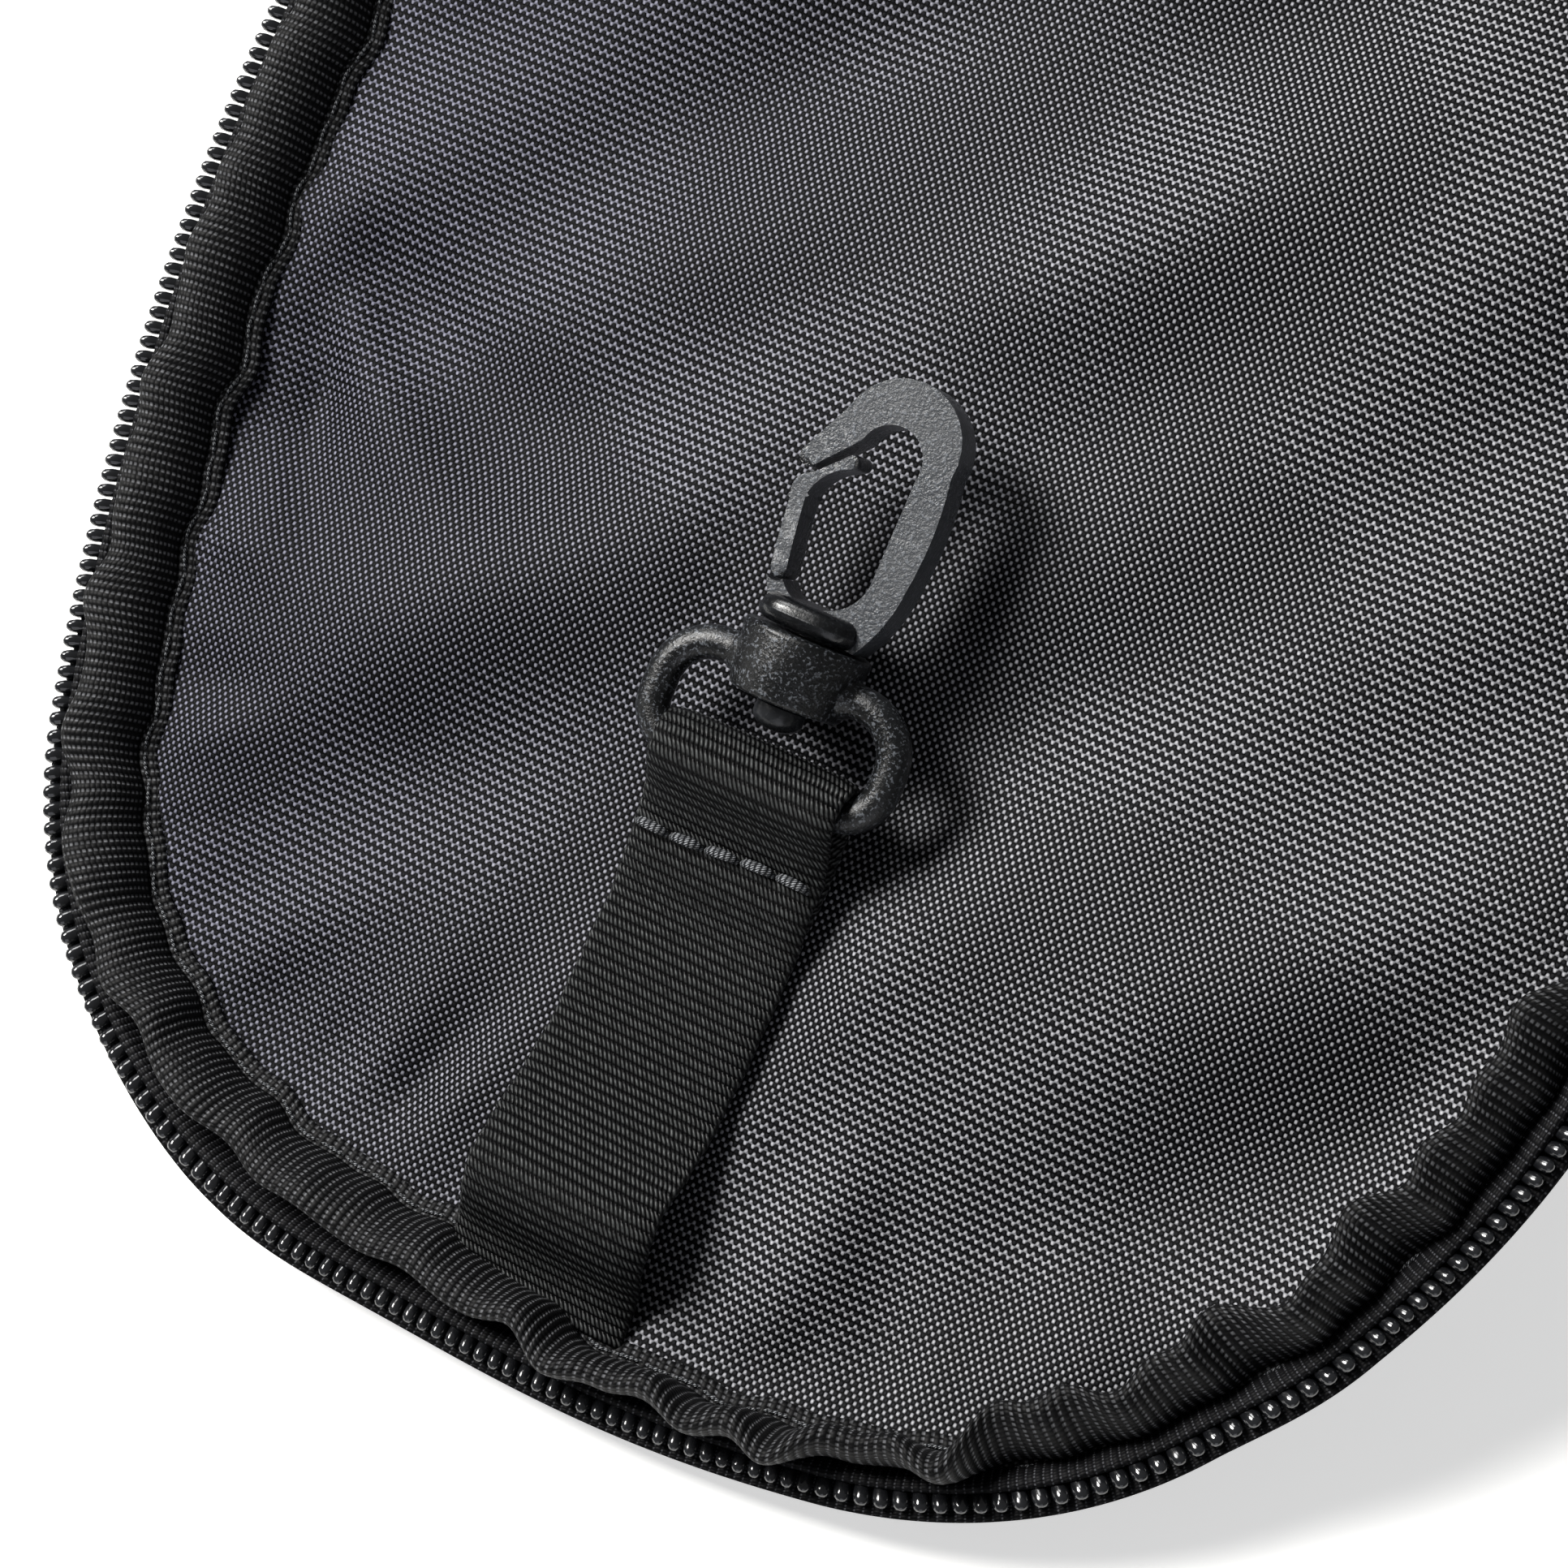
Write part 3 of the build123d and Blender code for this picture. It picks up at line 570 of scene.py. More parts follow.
def mouldedPlastic(name, spec):
    # a moulding takes the skin of its tool: fine spark-eroded grain breaks its shine into speckles, and
    # light flecks of that shine are painted into its colour
    material = newMaterial(name)
    place = addNode(material, "ShaderNodeTexCoord")
    grain = noise(material, place.outputs["Object"], spec["grain"], 3.0, 0.65)
    cloud = noise(material, place.outputs["Object"], 6, 2.0)
    shape = addNode(material, "ShaderNodeNewGeometry")
    worn = addNode(material, "ShaderNodeMapRange",
                   {"From Min": 0.53, "From Max": 0.62, "To Max": spec["wear"]},
                   {"Value": shape.outputs["Pointiness"]})
    uneven = addNode(material, "ShaderNodeMapRange",
                     {"From Min": 0.35, "From Max": 0.7, "To Min": spec["roughness"] - 0.05,
                      "To Max": spec["roughness"] + 0.07}, {"Value": cloud.outputs[0]})
    base = blended(material, worn.outputs[0], spec["colour"], spec["wearAndGlintColour"])
    # painted glints: light flecks of the grain's speckled shine, in the same light colour as the edge wear
    points = eased(material, grain.outputs[0], 0.54, 0.64, spec["fleck"])
    colour = addNode(material, "ShaderNodeMix", {"data_type": "RGBA", 7: spec["wearAndGlintColour"]},
                     {0: points.outputs[0], 6: base.outputs[2]})
    bump = bumpFrom(material, grain.outputs[0], spec["bump"], spec["relief"] * mm)
    shader = addNode(material, "ShaderNodeBsdfPrincipled",
                     {"IOR": spec["ior"], "Metallic": spec["metallic"],
                      "Specular IOR Level": spec["specular"]},
                     {"Base Color": colour.outputs[2], "Roughness": uneven.outputs[0],
                      "Normal": bump.outputs[0]})
    return closeMaterial(material, shader)


liningCloth = {
    "yarnAcross": 0.41, "yarnAlong": 0.515, "darkYarn": "#17181c", "gap": "#010102", "float": "#797a80",
    "floatTopSheen": "#aeaeb4", "skew": 0.42, "streak": (0.5, 2.4, 1.0), "uneven": 0.22,
    # darker and cooler towards the left: painted shade
    "leftShadeSpan": (-70.0, 45.0), "leftShadeTint": "#b9b9c8", "rightSideTint": "#fdfdfa",
    "bump": 0.9, "roughness": 0.42, "sheen": 0.0, "specular": 0.09,
}
shellCloth = {
    "yarnAcross": 0.55, "yarnAlong": 0.6, "darkYarn": "#1d1e21", "gap": "#050506", "float": "#2e2f33",
    "floatTopSheen": "#45464b", "skew": 0.0, "streak": (1.6, 1.6, 1.0), "uneven": 0.18,
    "leftShadeSpan": (-500.0, 500.0), "leftShadeTint": "#ffffff", "rightSideTint": "#ffffff",
    "bump": 1.0, "roughness": 0.5, "sheen": 0.0, "specular": 0.25,
}
grosgrain = {
    "rib": 0.9, "dash": 0.5, "slant": 0.0, "sheenRib": (0.75, 0.25), "dark": "#060607", "light": "#67686b",
    "grainHeight": 0.25, "bump": 0.9, "relief": 0.16, "roughness": 0.55, "sheen": 0.0, "specular": 0.12,
    "streak": (2.0, 1.0, 1.0), "uneven": 0.2,
}
strapWebbing = {
    "rib": 1.0, "dash": 0.5, "slant": 0.65, "sheenRib": (0.35, 0.85), "dark": "#030304", "light": "#4a4c4c",
    "grainHeight": 0.9, "bump": 1.0, "relief": 0.18, "roughness": 0.42, "sheen": 0.0, "specular": 0.2,
    "streak": (1.6, 2.2, 1.0), "uneven": 0.25,
}
zipTapeWeave = {
    "rib": 0.8, "dash": 0.4, "slant": 0.1, "sheenRib": (0.5, 0.1), "dark": "#0b0b0d", "light": "#5a5b5f",
    "grainHeight": 0.3, "bump": 0.9, "relief": 0.15, "roughness": 0.6, "sheen": 0.0, "specular": 0.12,
    "streak": (2.0, 2.0, 1.0), "uneven": 0.2,
}
acetal = {
    "colour": "#070809", "wearAndGlintColour": "#64686e", "wear": 0.3, "grain": 0.36, "relief": 0.1, "bump": 0.9,
    "fleck": 0.75, "roughness": 0.31, "ior": 1.48, "metallic": 0.0, "specular": 0.5,
}
liningNylon = wovenNylon("plainWovenNylonLining", liningCloth)
shellNylon = wovenNylon("coatedNylonOxfordShell", shellCloth)
bindingGrosgrain = ribbedTape("ribbedPolyesterGrosgrain", grosgrain)
webbing = ribbedTape("ribbedNylonWebbing", strapWebbing)
zipWeave = ribbedTape("wovenPolyesterZipTape", zipTapeWeave)
blackAcetal = mouldedPlastic("sparkErodedMouldedAcetal", acetal)
smoothAcetal = mouldedPlastic("polishedMouldedAcetal", {
    **acetal, "bump": 0.3, "roughness": 0.26, "colour": "#090a0c", "fleck": 0.06})
# drawn smooth, so each bead holds one sharp highlight
coilNylon = mouldedPlastic("drawnNylonMonofilament", {
    **acetal, "colour": "#08080a", "fleck": 0.0, "bump": 0.08, "roughness": 0.14, "wear": 0.1,
    "specular": 0.7, "ior": 1.53})
threadGrey = ribbedTape("twistedPolyesterThread", {  # its twist shows as slanted strands
    **strapWebbing, "rib": 0.5, "dash": 0.3, "slant": 0.9, "dark": "#1c1e21", "light": "#a9acb0",
    "relief": 0.1})
print("finishes made")


# Lid: lining, padding, outer skin, its zip and the folded binding that stands round its rim


lidRim = {
    "start": 3.0,  # from the hinge line to where the rim's pieces begin
    "zipStart": 30.0,
    "spacing": 0.55,
    "tapeSeam": 0.65,  # outside the outline
    "tapeRise": 22.0,  # degrees that the tape climbs outwards
    "tapeReach": 10.7,
    "footToEdge": 5.3,  # from the binding's stitching to the tape's edge
    "footToEdgeLeft": 8.3,
    "hingeFoot": 0.4,
    "bindingWidth": 7.6,
    "bindingHalfThickness": 1.35,
    "stripWidth": 2.3,
    "rimCloth": 0.8,  # of tape past the coil
    "skinTurn": 3.6,  # over which the outer skin turns up to the seam
    "shutShare": 0.25,  # of the ridge's height that is left when the lid is zipped shut
}
coil = {"pitch": 1.52, "width": 3.3, "height": 1.8, "bead": 1.5, "slant": 0.45}


def lidPlaces(st):
    # what changes round the rim: how far the zip reaches, where the binding stands and which way it falls
    x, t, path = st["x"], st["t"], st["path"]
    free = smooth(t, 25, 95)
    left = smooth(-x, 26, 56) * free
    reach = lidRim["tapeReach"] - 0.8 * left
    reach = reach + 1.2 * np.exp(-(((x + 26) / 12) ** 2)) - 0.5 * np.exp(-(((x - 38) / 16) ** 2))
    reach = reach + 4.4 * smooth(x, 56, 67.5) * smooth(t, 60, 140) - 1.0 * (1 - free)
    leftMore = lidRim["footToEdgeLeft"] - lidRim["footToEdge"]
    toEdge = lidRim["footToEdge"] + leftMore * (1 - smooth(x, -8, 16))
    toEdge = toEdge + 1.5 * np.exp(-(((x + 26) / 20) ** 2))
    foot = lidRim["hingeFoot"] + (reach - toEdge - lidRim["hingeFoot"]) * free
    lean = 30 + 22 * smooth(x, -62, -40) + 36 * smooth(x, -15, 18) + 50 * smooth(x, 28, 54)
    sway = 5 + 12 * smooth(x, -10, 12) - 3 * smooth(x, 45, 66)
    lean = 90 + (lean + sway * waves(path, 12.5, 7) - 90) * free
    width = lidRim["bindingWidth"] + 0.5 * waves(path, 17, 11)
    foot = foot + 0.45 * waves(path, 11, 5) * free
    return {"reach": reach, "foot": foot, "lean": np.radians(lean), "width": width, "left": left,
            "free": free}


def tapeHeight(out):
    # height of the sewn rim over the flat lining: level inside the seam, climbing outside it
    spread = 1.5
    climb = math.tan(math.radians(lidRim["tapeRise"]))
    return climb * spread * np.log1p(np.exp((out - lidRim["tapeSeam"]) / spread))


def standOff(st, out):
    # across and along the bag, for points that stand out from an outline's places: out is [place, point]
    return st["x"][:, None] + st["nx"][:, None] * out, st["t"][:, None] + st["nt"][:, None] * out


def rimPoints(st, out, height):
    # sections round the lid's rim
    return onLid(*standOff(st, out), height)


lidStations = rim(lidRim["start"], lidRim["spacing"])
lidShape = lidPlaces(lidStations)


def patchGrid(st, edgeOut, columns, rows, hingeT):
    # a four-sided net inside the rim: across from side to side, and from the hinge to the free end
    x = st["x"] + st["nx"] * edgeOut
    t = st["t"] + st["nt"] * edgeOut
    path = st["path"] - st["path"][0]
    total = path[-1]
    corner = total / 2 - 62  # the side runs end at the middle of the round corners
    across = np.linspace(0, 1, columns)
    down = np.linspace(0, 1, rows)

    def at(distance):
        return np.stack([np.interp(distance, path, x), np.interp(distance, path, t)], -1)

    leftSide, rightSide = at(down * corner), at(total - down * corner)
    farEdge = at(corner + across * (total - 2 * corner))
    nearEdge = leftSide[0] + (rightSide[0] - leftSide[0]) * across[:, None]
    nearEdge[:, 1] = hingeT
    leftSide[0, 1] = rightSide[0, 1] = hingeT
    u, v = across[None, :, None], down[:, None, None]
    corners = (
        (1 - u) * (1 - v) * leftSide[0] + u * (1 - v) * rightSide[0]
        + (1 - u) * v * leftSide[-1] + u * v * rightSide[-1]
    )
    net = (1 - v) * nearEdge[None] + v * farEdge[None] + (1 - u) * leftSide[:, None] + u * rightSide[:, None]
    return net - corners


def nearRim(net, st, edgeOut):
    # distance in from the rim, and which place on it is nearest
    points = net.reshape(-1, 2)
    edge = np.stack([st["x"] + st["nx"] * edgeOut, st["t"] + st["nt"] * edgeOut], 1)
    distance = np.empty(len(points))
    place = np.empty(len(points), int)
    batch = 4000
    for first in range(0, len(points), batch):
        some = slice(first, first + batch)
        gap = np.linalg.norm(points[some, None] - edge[None], axis=2)
        place[some] = gap.argmin(1)
        distance[some] = gap.min(1)
    return distance.reshape(net.shape[:2]), place.reshape(net.shape[:2])


# Soft folds of the lining: start (across, from the free end), direction in degrees, length, width, height
liningFolds = [
    (-62, 78, -42, 46, 4.0, 1.5), (-62, 70, -64, 34, 3.2, -1.0), (-64, 84, -20, 52, 5.0, -0.9),
    (-66, 52, -8, 40, 5.0, 0.8), (-63, 36, 14, 44, 4.2, -0.9), (-60, 30, 30, 40, 4.0, 0.9),
    (-14, 9, 62, 26, 3.0, 1.0), (-20, 7, 78, 22, 2.6, -1.0), (-30, 3, 66, 34, 3.2, 1.1),
    (-40, 6, 58, 30, 3.4, -0.8), (24, 2, 96, 40, 4.0, 0.9), (34, 2, 104, 34, 3.4, -0.8),
    (52, 12, 122, 36, 4.4, 0.8), (16, 1, 84, 30, 3.0, -0.8),
]
liningSwell = {  # broad low swells that run up the panel from the lower left
    "heights": (1.5, 1.0, 0.6), "spacings": (58.0, 36.0, 23.0), "directions": (128.0, 112.0, 143.0),
    "starts": (0.4, 2.1, 4.0),
}


def liningHeight(net, distance, place, edgeOut):
    across, fromEnd = net[..., 0], bag["length"] - net[..., 1]
    height = tapeHeight(edgeOut[place] - distance)
    swell = np.zeros_like(across)
    swells = (liningSwell[key] for key in ("heights", "spacings", "directions", "starts"))
    for lift, spacing, way, start in zip(*swells):
        angle = math.radians(way)
        along = across * math.cos(angle) + fromEnd * math.sin(angle)
        aside = -across * math.sin(angle) + fromEnd * math.cos(angle)
        swell += lift * np.sin(2 * math.pi * along / spacing + start + 0.7 * np.sin(aside / 41 + start))
    for startX, startB, way, length, width, lift in liningFolds:
        angle = math.radians(way)
        along = (across - startX) * math.cos(angle) + (fromEnd - startB) * math.sin(angle)
        aside = -(across - startX) * math.sin(angle) + (fromEnd - startB) * math.cos(angle)
        aside = aside + 1.4 * np.sin(along / 9 + startX)
        spread = width * (0.7 + 0.9 * np.clip(along / length, 0, 1))
        reach = smooth(along, -4, 3) * (1 - smooth(along, 0.25 * length, length))
        swell += lift * reach * np.exp(-((aside / spread) ** 2))
    puckers = waves(lidStations["path"], 6.5, 23)[place] * 0.28 * np.exp(-distance / 7.0)
    swell += puckers * lidShape["free"][place]
    swell *= (smooth(distance, -1.0, 9.0) * 0.85 + 0.15) * smooth(net[..., 1], 12, 40)
    underStrap = (1 - smooth(np.abs(across), 11, 17)) * (1 - smooth(fromEnd, 60, 70))
    underHook = (1 - smooth(np.abs(across), 10, 20)) * (1 - smooth(fromEnd, 92, 104))
    swell = np.where(swell > 0, swell * (1 - underStrap), swell)
    swell = np.where(swell > 0, swell * (1 - 0.5 * underHook), swell)
    return height + swell - 0.35 * smooth(distance, 4, 30)


def makeLining():
    edge = lidShape["foot"] - 0.7
    net = patchGrid(lidStations, edge, 150, 210, 7.2)
    distance, place = nearRim(net, lidStations, edge)
    height = liningHeight(net, distance, place, edge) + 0.12
    top = onLid(net[..., 0], net[..., 1], height)
    bottom = onLid(net[..., 0], net[..., 1], height - 0.2 - 0.3 * smooth(distance, 1, 6))
    mesh = slabMesh("lidLining", top, bottom, net * mm)
    piece = finishPiece("lidLining", mesh, "lid", liningNylon, ["lid_lining"])
    return piece


def makeLidBody():
    # padding, and the outer skin that turns up round it to the zip's seam
    edge = lidShape["foot"] * 0.55 + 0.1
    net = patchGrid(lidStations, edge, 76, 108, 6.2)
    distance, place = nearRim(net, lidStations, edge)
    inward = np.minimum(distance, net[..., 1] - 6.2)  # the skin turns up along the hinge edge as well
    inside = np.clip(inward / lidRim["skinTurn"], 0, 1)
    corner = 1 - np.sqrt(1 - (1 - inside) ** 2)
    dome = 2.0 * smooth(inward, 2, 38) + 0.25 * waves(net[..., 1] + 0.3 * net[..., 0], 46, 31)
    dome = dome * smooth(inward, 0, 8)
    seamHeight = tapeHeight(edge)[place] - 0.7
    flat = -4.6 - dome
    under = seamHeight + (flat - seamHeight) * (1 - corner)
    skinTop = np.minimum(under + 0.9, seamHeight + 0.05)
    liningEdge = lidShape["foot"] - 0.7
    beneath = liningHeight(net, *nearRim(net, lidStations, liningEdge), liningEdge) - 0.75
    skinTop = np.where(inward > 1, np.minimum(skinTop, beneath), skinTop)  # it keeps under the lining
    under = np.minimum(under, skinTop - 0.2)
    skin = slabMesh("lidSkin", onLid(net[..., 0], net[..., 1], skinTop),
                    onLid(net[..., 0], net[..., 1], under),
                    net * mm)
    skin = finishPiece("lidSkin", skin, "lid", shellNylon, ["lid_shell"])
    sunk = 0.85 + 1.5 * (1 - smooth(inward, 6, 16))
    padTop = np.maximum(liningHeight(net, distance, place, edge) - sunk, skinTop + 0.05)
    pad = slabMesh("lidPadding", onLid(net[..., 0], net[..., 1], padTop),
                   onLid(net[..., 0], net[..., 1], np.minimum(skinTop, padTop - 0.05)), net * mm)
    pad = finishPiece("lidPadding", pad, "lid", foamGrey, ["lid_foam"])


def ridgeRings(st, shape, keep):
    # the folded binding: it stands up from its stitching, bends over and ends in a soft round fold
    steps = np.concatenate([np.linspace(0, 0.72, 7),
                            0.72 + 0.28 * np.sin(np.linspace(0.2, 1, 7) * math.pi / 2)])
    lean, width = shape["lean"][keep], shape["width"][keep]
    foot = shape["foot"][keep]
    half = lidRim["bindingHalfThickness"] * (1 + 0.12 * waves(st["path"][keep], 6, 41))
    out, height = np.zeros((len(foot), len(steps))), np.zeros((len(foot), len(steps)))
    out[:, 0], height[:, 0] = foot, tapeHeight(foot) + 0.35
    angles = math.pi / 2 + (lean - math.pi / 2)[:, None] * np.minimum(1.12, 1.22 * steps**0.5)[None]
    for k in range(1, len(steps)):
        run = width * (steps[k] - steps[k - 1])
        out[:, k] = out[:, k - 1] + run * np.cos(angles[:, k])
        height[:, k] = height[:, k - 1] + run * np.sin(angles[:, k])
    thick = np.where(steps < 0.68, 0.55 + 0.45 * smooth(steps, 0, 0.5),
                     np.sqrt(np.clip(1 - ((steps - 0.68) / 0.32) ** 2, 0, 1)))
    thick = thick[None] * half[:, None]
    sideOut, sideHeight = -np.sin(angles) * thick, np.cos(angles) * thick
    upper = np.stack([out + sideOut, height + sideHeight], -1)
    lower = np.stack([out - sideOut, height - sideHeight], -1)[:, -2::-1]
    floor = tapeHeight(np.concatenate([upper, lower], 1)[..., 0]) + 0.1
    section = np.concatenate([upper, lower], 1)
    section[..., 1] = np.maximum(section[..., 1], floor)
    return section


def makeBinding():
    st, shape = lidStations, lidShape
    keep = np.arange(len(st["path"]))
    section = ridgeRings(st, shape, keep)
    points = rimPoints(st, section[..., 0], section[..., 1])
    mesh = sweepMesh("lidBindingRidge", points)
    ridge = finishPiece("lidBindingRidge", mesh, "lid", bindingGrosgrain, ["lid_binding"])
    up = tuple(lidDirection(0, 0, 1))
    tuple(onLid(0, bag["length"] / 2, 0.6))
    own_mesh(ridge)
    strip = lidRim["stripWidth"]
    spots = np.linspace(-strip, 0.75 * strip, 9)
    out = shape["foot"][:, None] + spots[None]
    base = tapeHeight(out)
    edgeLift = 0.12 * waves(st["path"], 5.5, 43)[:, None] * (np.abs(spots) / strip)[None]
    top = base + 0.75 - 0.25 * (np.abs(spots) / strip)[None] ** 2 + edgeLift
    rings = np.stack([thereAndBack(out, out), thereAndBack(top, base - 0.1)], -1)
    mesh = sweepMesh("lidBindingStrip", rimPoints(st, rings[..., 0], rings[..., 1]))
    foot = finishPiece("lidBindingStrip", mesh, "lid", bindingGrosgrain, [])
    return ridge, foot


seamThread = {"pitch": 3.1, "radius": 0.17}


def makeBindingStitches():
    st, shape = lidStations, lidShape
    up = np.array(lidDirection(0, 0, 1))
    meshes = []
    for offset in (-1.15, 1.05):
        out = (shape["foot"] + offset)[:, None]
        points = rimPoints(st, out, tapeHeight(out) + 0.78)[:, 0]
        meshes.append(stitchRow("stitches", points, np.tile(up, (len(points), 1)), seamThread))
    return finishPiece("lidBindingStitches", joinMeshes("lidBindingStitches", meshes), "lid", threadGrey, [])


def makeZip(name, st, seam, edge, cover, heightAt, coilOuter, place, body, replaced, turned):
    # a ribbed tape with a wound coil sewn on it; heightAt gives the tape's height over its seam line
    spots = np.linspace(0, 1, 11)
    out = seam[:, None] + (edge - seam)[:, None] * spots[None]
    under = 0.85 * (1 - smooth(out - cover[:, None], -1.6, 0.6))  # it starts beneath what is sewn over it
    top = heightAt(out) + 0.3 - under
    rings = place(st, thereAndBack(out, out), thereAndBack(top, top - 0.6))
    tape = finishPiece(name + "ZipTape", sweepMesh(name + "ZipTape", rings), body, zipWeave,
                       [replaced + "_zip_tape"])
    # each turn of the coil shows as a bead over the tape, with its head at the outer edge
    path = st["path"]
    turns = int((path[-1] - path[0]) / coil["pitch"])
    along = path[0] + coil["pitch"] * (np.arange(turns) + 0.5)
    ring = np.linspace(0, 2 * math.pi, 8, endpoint=False)
    steps = np.concatenate([[0.0, 0.04], np.linspace(0.12, 0.88, 6), [0.96, 1.0]])
    girth = np.sqrt(np.clip(1 - (2 * steps - 1) ** 4, 0.0004, 1))
    heads = np.interp(steps, [0, 0.5, 0.8, 1], [0.78, 0.86, 1.0, 1.0]) * girth
    outer = np.interp(along, path, coilOuter)
    across = outer[:, None] - coil["width"] * (1 - steps[None])
    spots = along[:, None] + coil["slant"] * (steps[None] - 0.5)
    rise = heightAt(across) + 0.3 + coil["height"] / 2 - 0.55 * (1 - steps[None]) ** 2 * turned
    rings = []
    for k in range(len(steps)):
        shift = coil["bead"] / 2 * heads[k] * np.cos(ring)
        lift = coil["height"] / 2 * heads[k] * np.sin(ring)
        where = spots[:, k, None] + shift[None]
        dense = {key: np.interp(where, path, st[key]) for key in ("x", "t", "nx", "nt")}
        level = rise[:, k, None] + lift[None]
        out = across[:, k, None] + 0 * where
        points = [place({key: dense[key][:, j] for key in dense}, out[:, j, None], level[:, j, None])[:, 0]
                  for j in range(len(ring))]
        rings.append(np.stack(points, 1))
    rings = np.stack(rings, 1)
    meshes = [sweepMesh("bead", rings[number]) for number in range(turns)]
    wound = finishPiece(name + "ZipCoil", joinMeshes(name + "ZipCoil", meshes), body, coilNylon,
                        [replaced + "_zip_coil"])
    # the woven cover that holds the coil's inner half to the tape
    inner = coilOuter - coil["width"]
    across = np.array([-0.9, -0.4, 0.0, 0.5, 1.05, 1.5])
    hump = np.array([0.1, 0.7, 1.35, 1.8, 1.95, 1.5]) + 0.35
    outC = inner[:, None] + across[None]
    ripple = 0.1 * np.sin(2 * math.pi * path / coil["pitch"])[:, None]
    top = heightAt(outC) + hump[None] + ripple
    low = heightAt(outC) + hump[None] * 0.55
    rings = place(st, thereAndBack(outC, outC), thereAndBack(top, low))
    cover = finishPiece(name + "CoilCover", sweepMesh(name + "CoilCover", rings), body, zipWeave, [])
    return tape, wound, cover


def makeLidZip():
    st = rim(lidRim["zipStart"], 0.5)
    shape = lidPlaces(st)
    seam = shape["foot"] * 0.55 - 0.2
    # its end is sewn in
    tucked = 0.2 + 0.8 * smooth(st["t"], lidRim["zipStart"] - 1, lidRim["zipStart"] + 16)
    reach = seam + (shape["reach"] - seam) * tucked
    edge = reach - 1.5 * shape["left"] * (1 - smooth(st["t"], 150, 200)) * tucked
    outer = reach - lidRim["rimCloth"] * (1 - shape["left"])
    makeZip("lid", st, seam, edge, shape["foot"], tapeHeight, outer, rimPoints, "lid", "lid", 1)


foamGrey = mouldedPlastic("polyurethaneFoam", {  # open cells leave a soft dull surface
    **acetal, "fleck": 0.15, "colour": "#3a3b3e", "grain": 0.5, "relief": 0.3, "roughness": 0.85,
    "specular": 0.2})
makeLidBody()
makeLining()
makeBinding()
makeBindingStitches()
makeLidZip()
print("lid made")


# Strap: one length of webbing, sewn into the free end, folded round the ring's bar and stitched to itself


ringWire = 1.7  # radius
strap = {
    "width": 20.0,
    "thickness": 1.4,
    "barFromEnd": 50.95,  # the ring's bar, up the lid from the free end's seam
    "barHeight": 5.2,
    "wire": ringWire,
    "clear": 0.35,
    "stitchAt": 43.0,
    "tailEnd": 39.6,
    "bendStart": 1.0,  # where the strap begins and ends to lift
    "bendEnd": 13.0,
}
strapThread = {"pitch": 3.7, "radius": 0.56}


def splineThrough(points, count):
    # a smooth even line through a few given points
    points = np.asarray(points, float)
    steps = np.linalg.norm(np.diff(points, axis=0), axis=1)
    knots = np.concatenate([[0], np.cumsum(steps)])
    slopes = np.gradient(points, knots, axis=0)
    wanted = np.linspace(0, knots[-1], count)
    k = np.clip(np.searchsorted(knots, wanted, side="right") - 1, 0, len(steps) - 1)
    h = steps[k][:, None]
    u = ((wanted - knots[k]) / steps[k])[:, None]
    return (
        (2 * u**3 - 3 * u**2 + 1) * points[k] + (u**3 - 2 * u**2 + u) * h * slopes[k]
        + (3 * u**2 - 2 * u**3) * points[k + 1] + (u**3 - u**2) * h * slopes[k + 1]
    )


def strapLine():
    # the webbing's middle line as (from the free end, height over the lining)
    loop = strap["wire"] + strap["clear"] + strap["thickness"] / 2
    bar = (strap["barFromEnd"], strap["barHeight"])
    rise = [(-3.4, 1.5), (-1.0, 1.5), (1.4, 2.3), (4.2, 4.5), (7.6, 5.9), (11.0, 5.2), (14.6, 3.3),
            (18.5, 1.7), (23.0, 1.05), (30.0, 1.0), (37.0, 1.15), (39.0, 1.75), (41.2, 2.45),
            (44.0, 3.0), (47.0, 4.9)]
    over = [(bar[0] + loop * math.cos(g), bar[1] + loop * math.sin(g))
            for g in np.radians([112, 80, 45, 10, -25, -60])]
    back = [(49.6, 2.2), (46.6, 1.35), (44.0, 1.2), (strap["tailEnd"], 1.0)]
    return rise, over, back


def webbingSweep(name, line):
    # webbing along a line in the lid's middle plane, with soft rolled edges and slightly uneven selvedges
    tangent = np.gradient(line, axis=0)
    tangent /= np.linalg.norm(tangent, axis=1)[:, None]
    normal = np.stack([-tangent[:, 1], tangent[:, 0]], 1)
    path = np.concatenate([[0], np.cumsum(np.linalg.norm(np.diff(line, axis=0), axis=1))])
    half = strap["width"] / 2
    spots = np.concatenate([[-half], np.linspace(-half + 0.35, half - 0.35, 15), [half]])
    thick = strap["thickness"] / 2 * np.sqrt(np.clip(1 - (np.abs(spots) / (half + 0.02)) ** 14, 0.05, 1))
    crown = 0.16 * (1 - (spots / half) ** 2)
    edge = 1 + 0.006 * np.sin(2 * math.pi * path / 1.72)[:, None] + 0.008 * waves(path, 9, 3)[:, None]
    x = spots[None] * edge + 0.15 * waves(path, 30, 4)[:, None]
    upper = crown[None] + thick[None] + 0.05 * waves(path, 7, 5)[:, None]
    lower = crown[None] - thick[None] + 0 * path[:, None]
    across, lift = thereAndBack(x, x), thereAndBack(upper, lower)
    fromEnd = line[:, 0, None] + normal[:, 0, None] * lift
    height = line[:, 1, None] + normal[:, 1, None] * lift
    rings = onLid(across, bag["length"] - fromEnd, height)
    girth = np.concatenate([spots, spots[::-1] + 0.37, spots[:1]])
    uv = np.stack(np.broadcast_arrays(path[:, None], girth[None] + 40.0), -1) * mm
    return sweepMesh(name, rings, uv=uv)


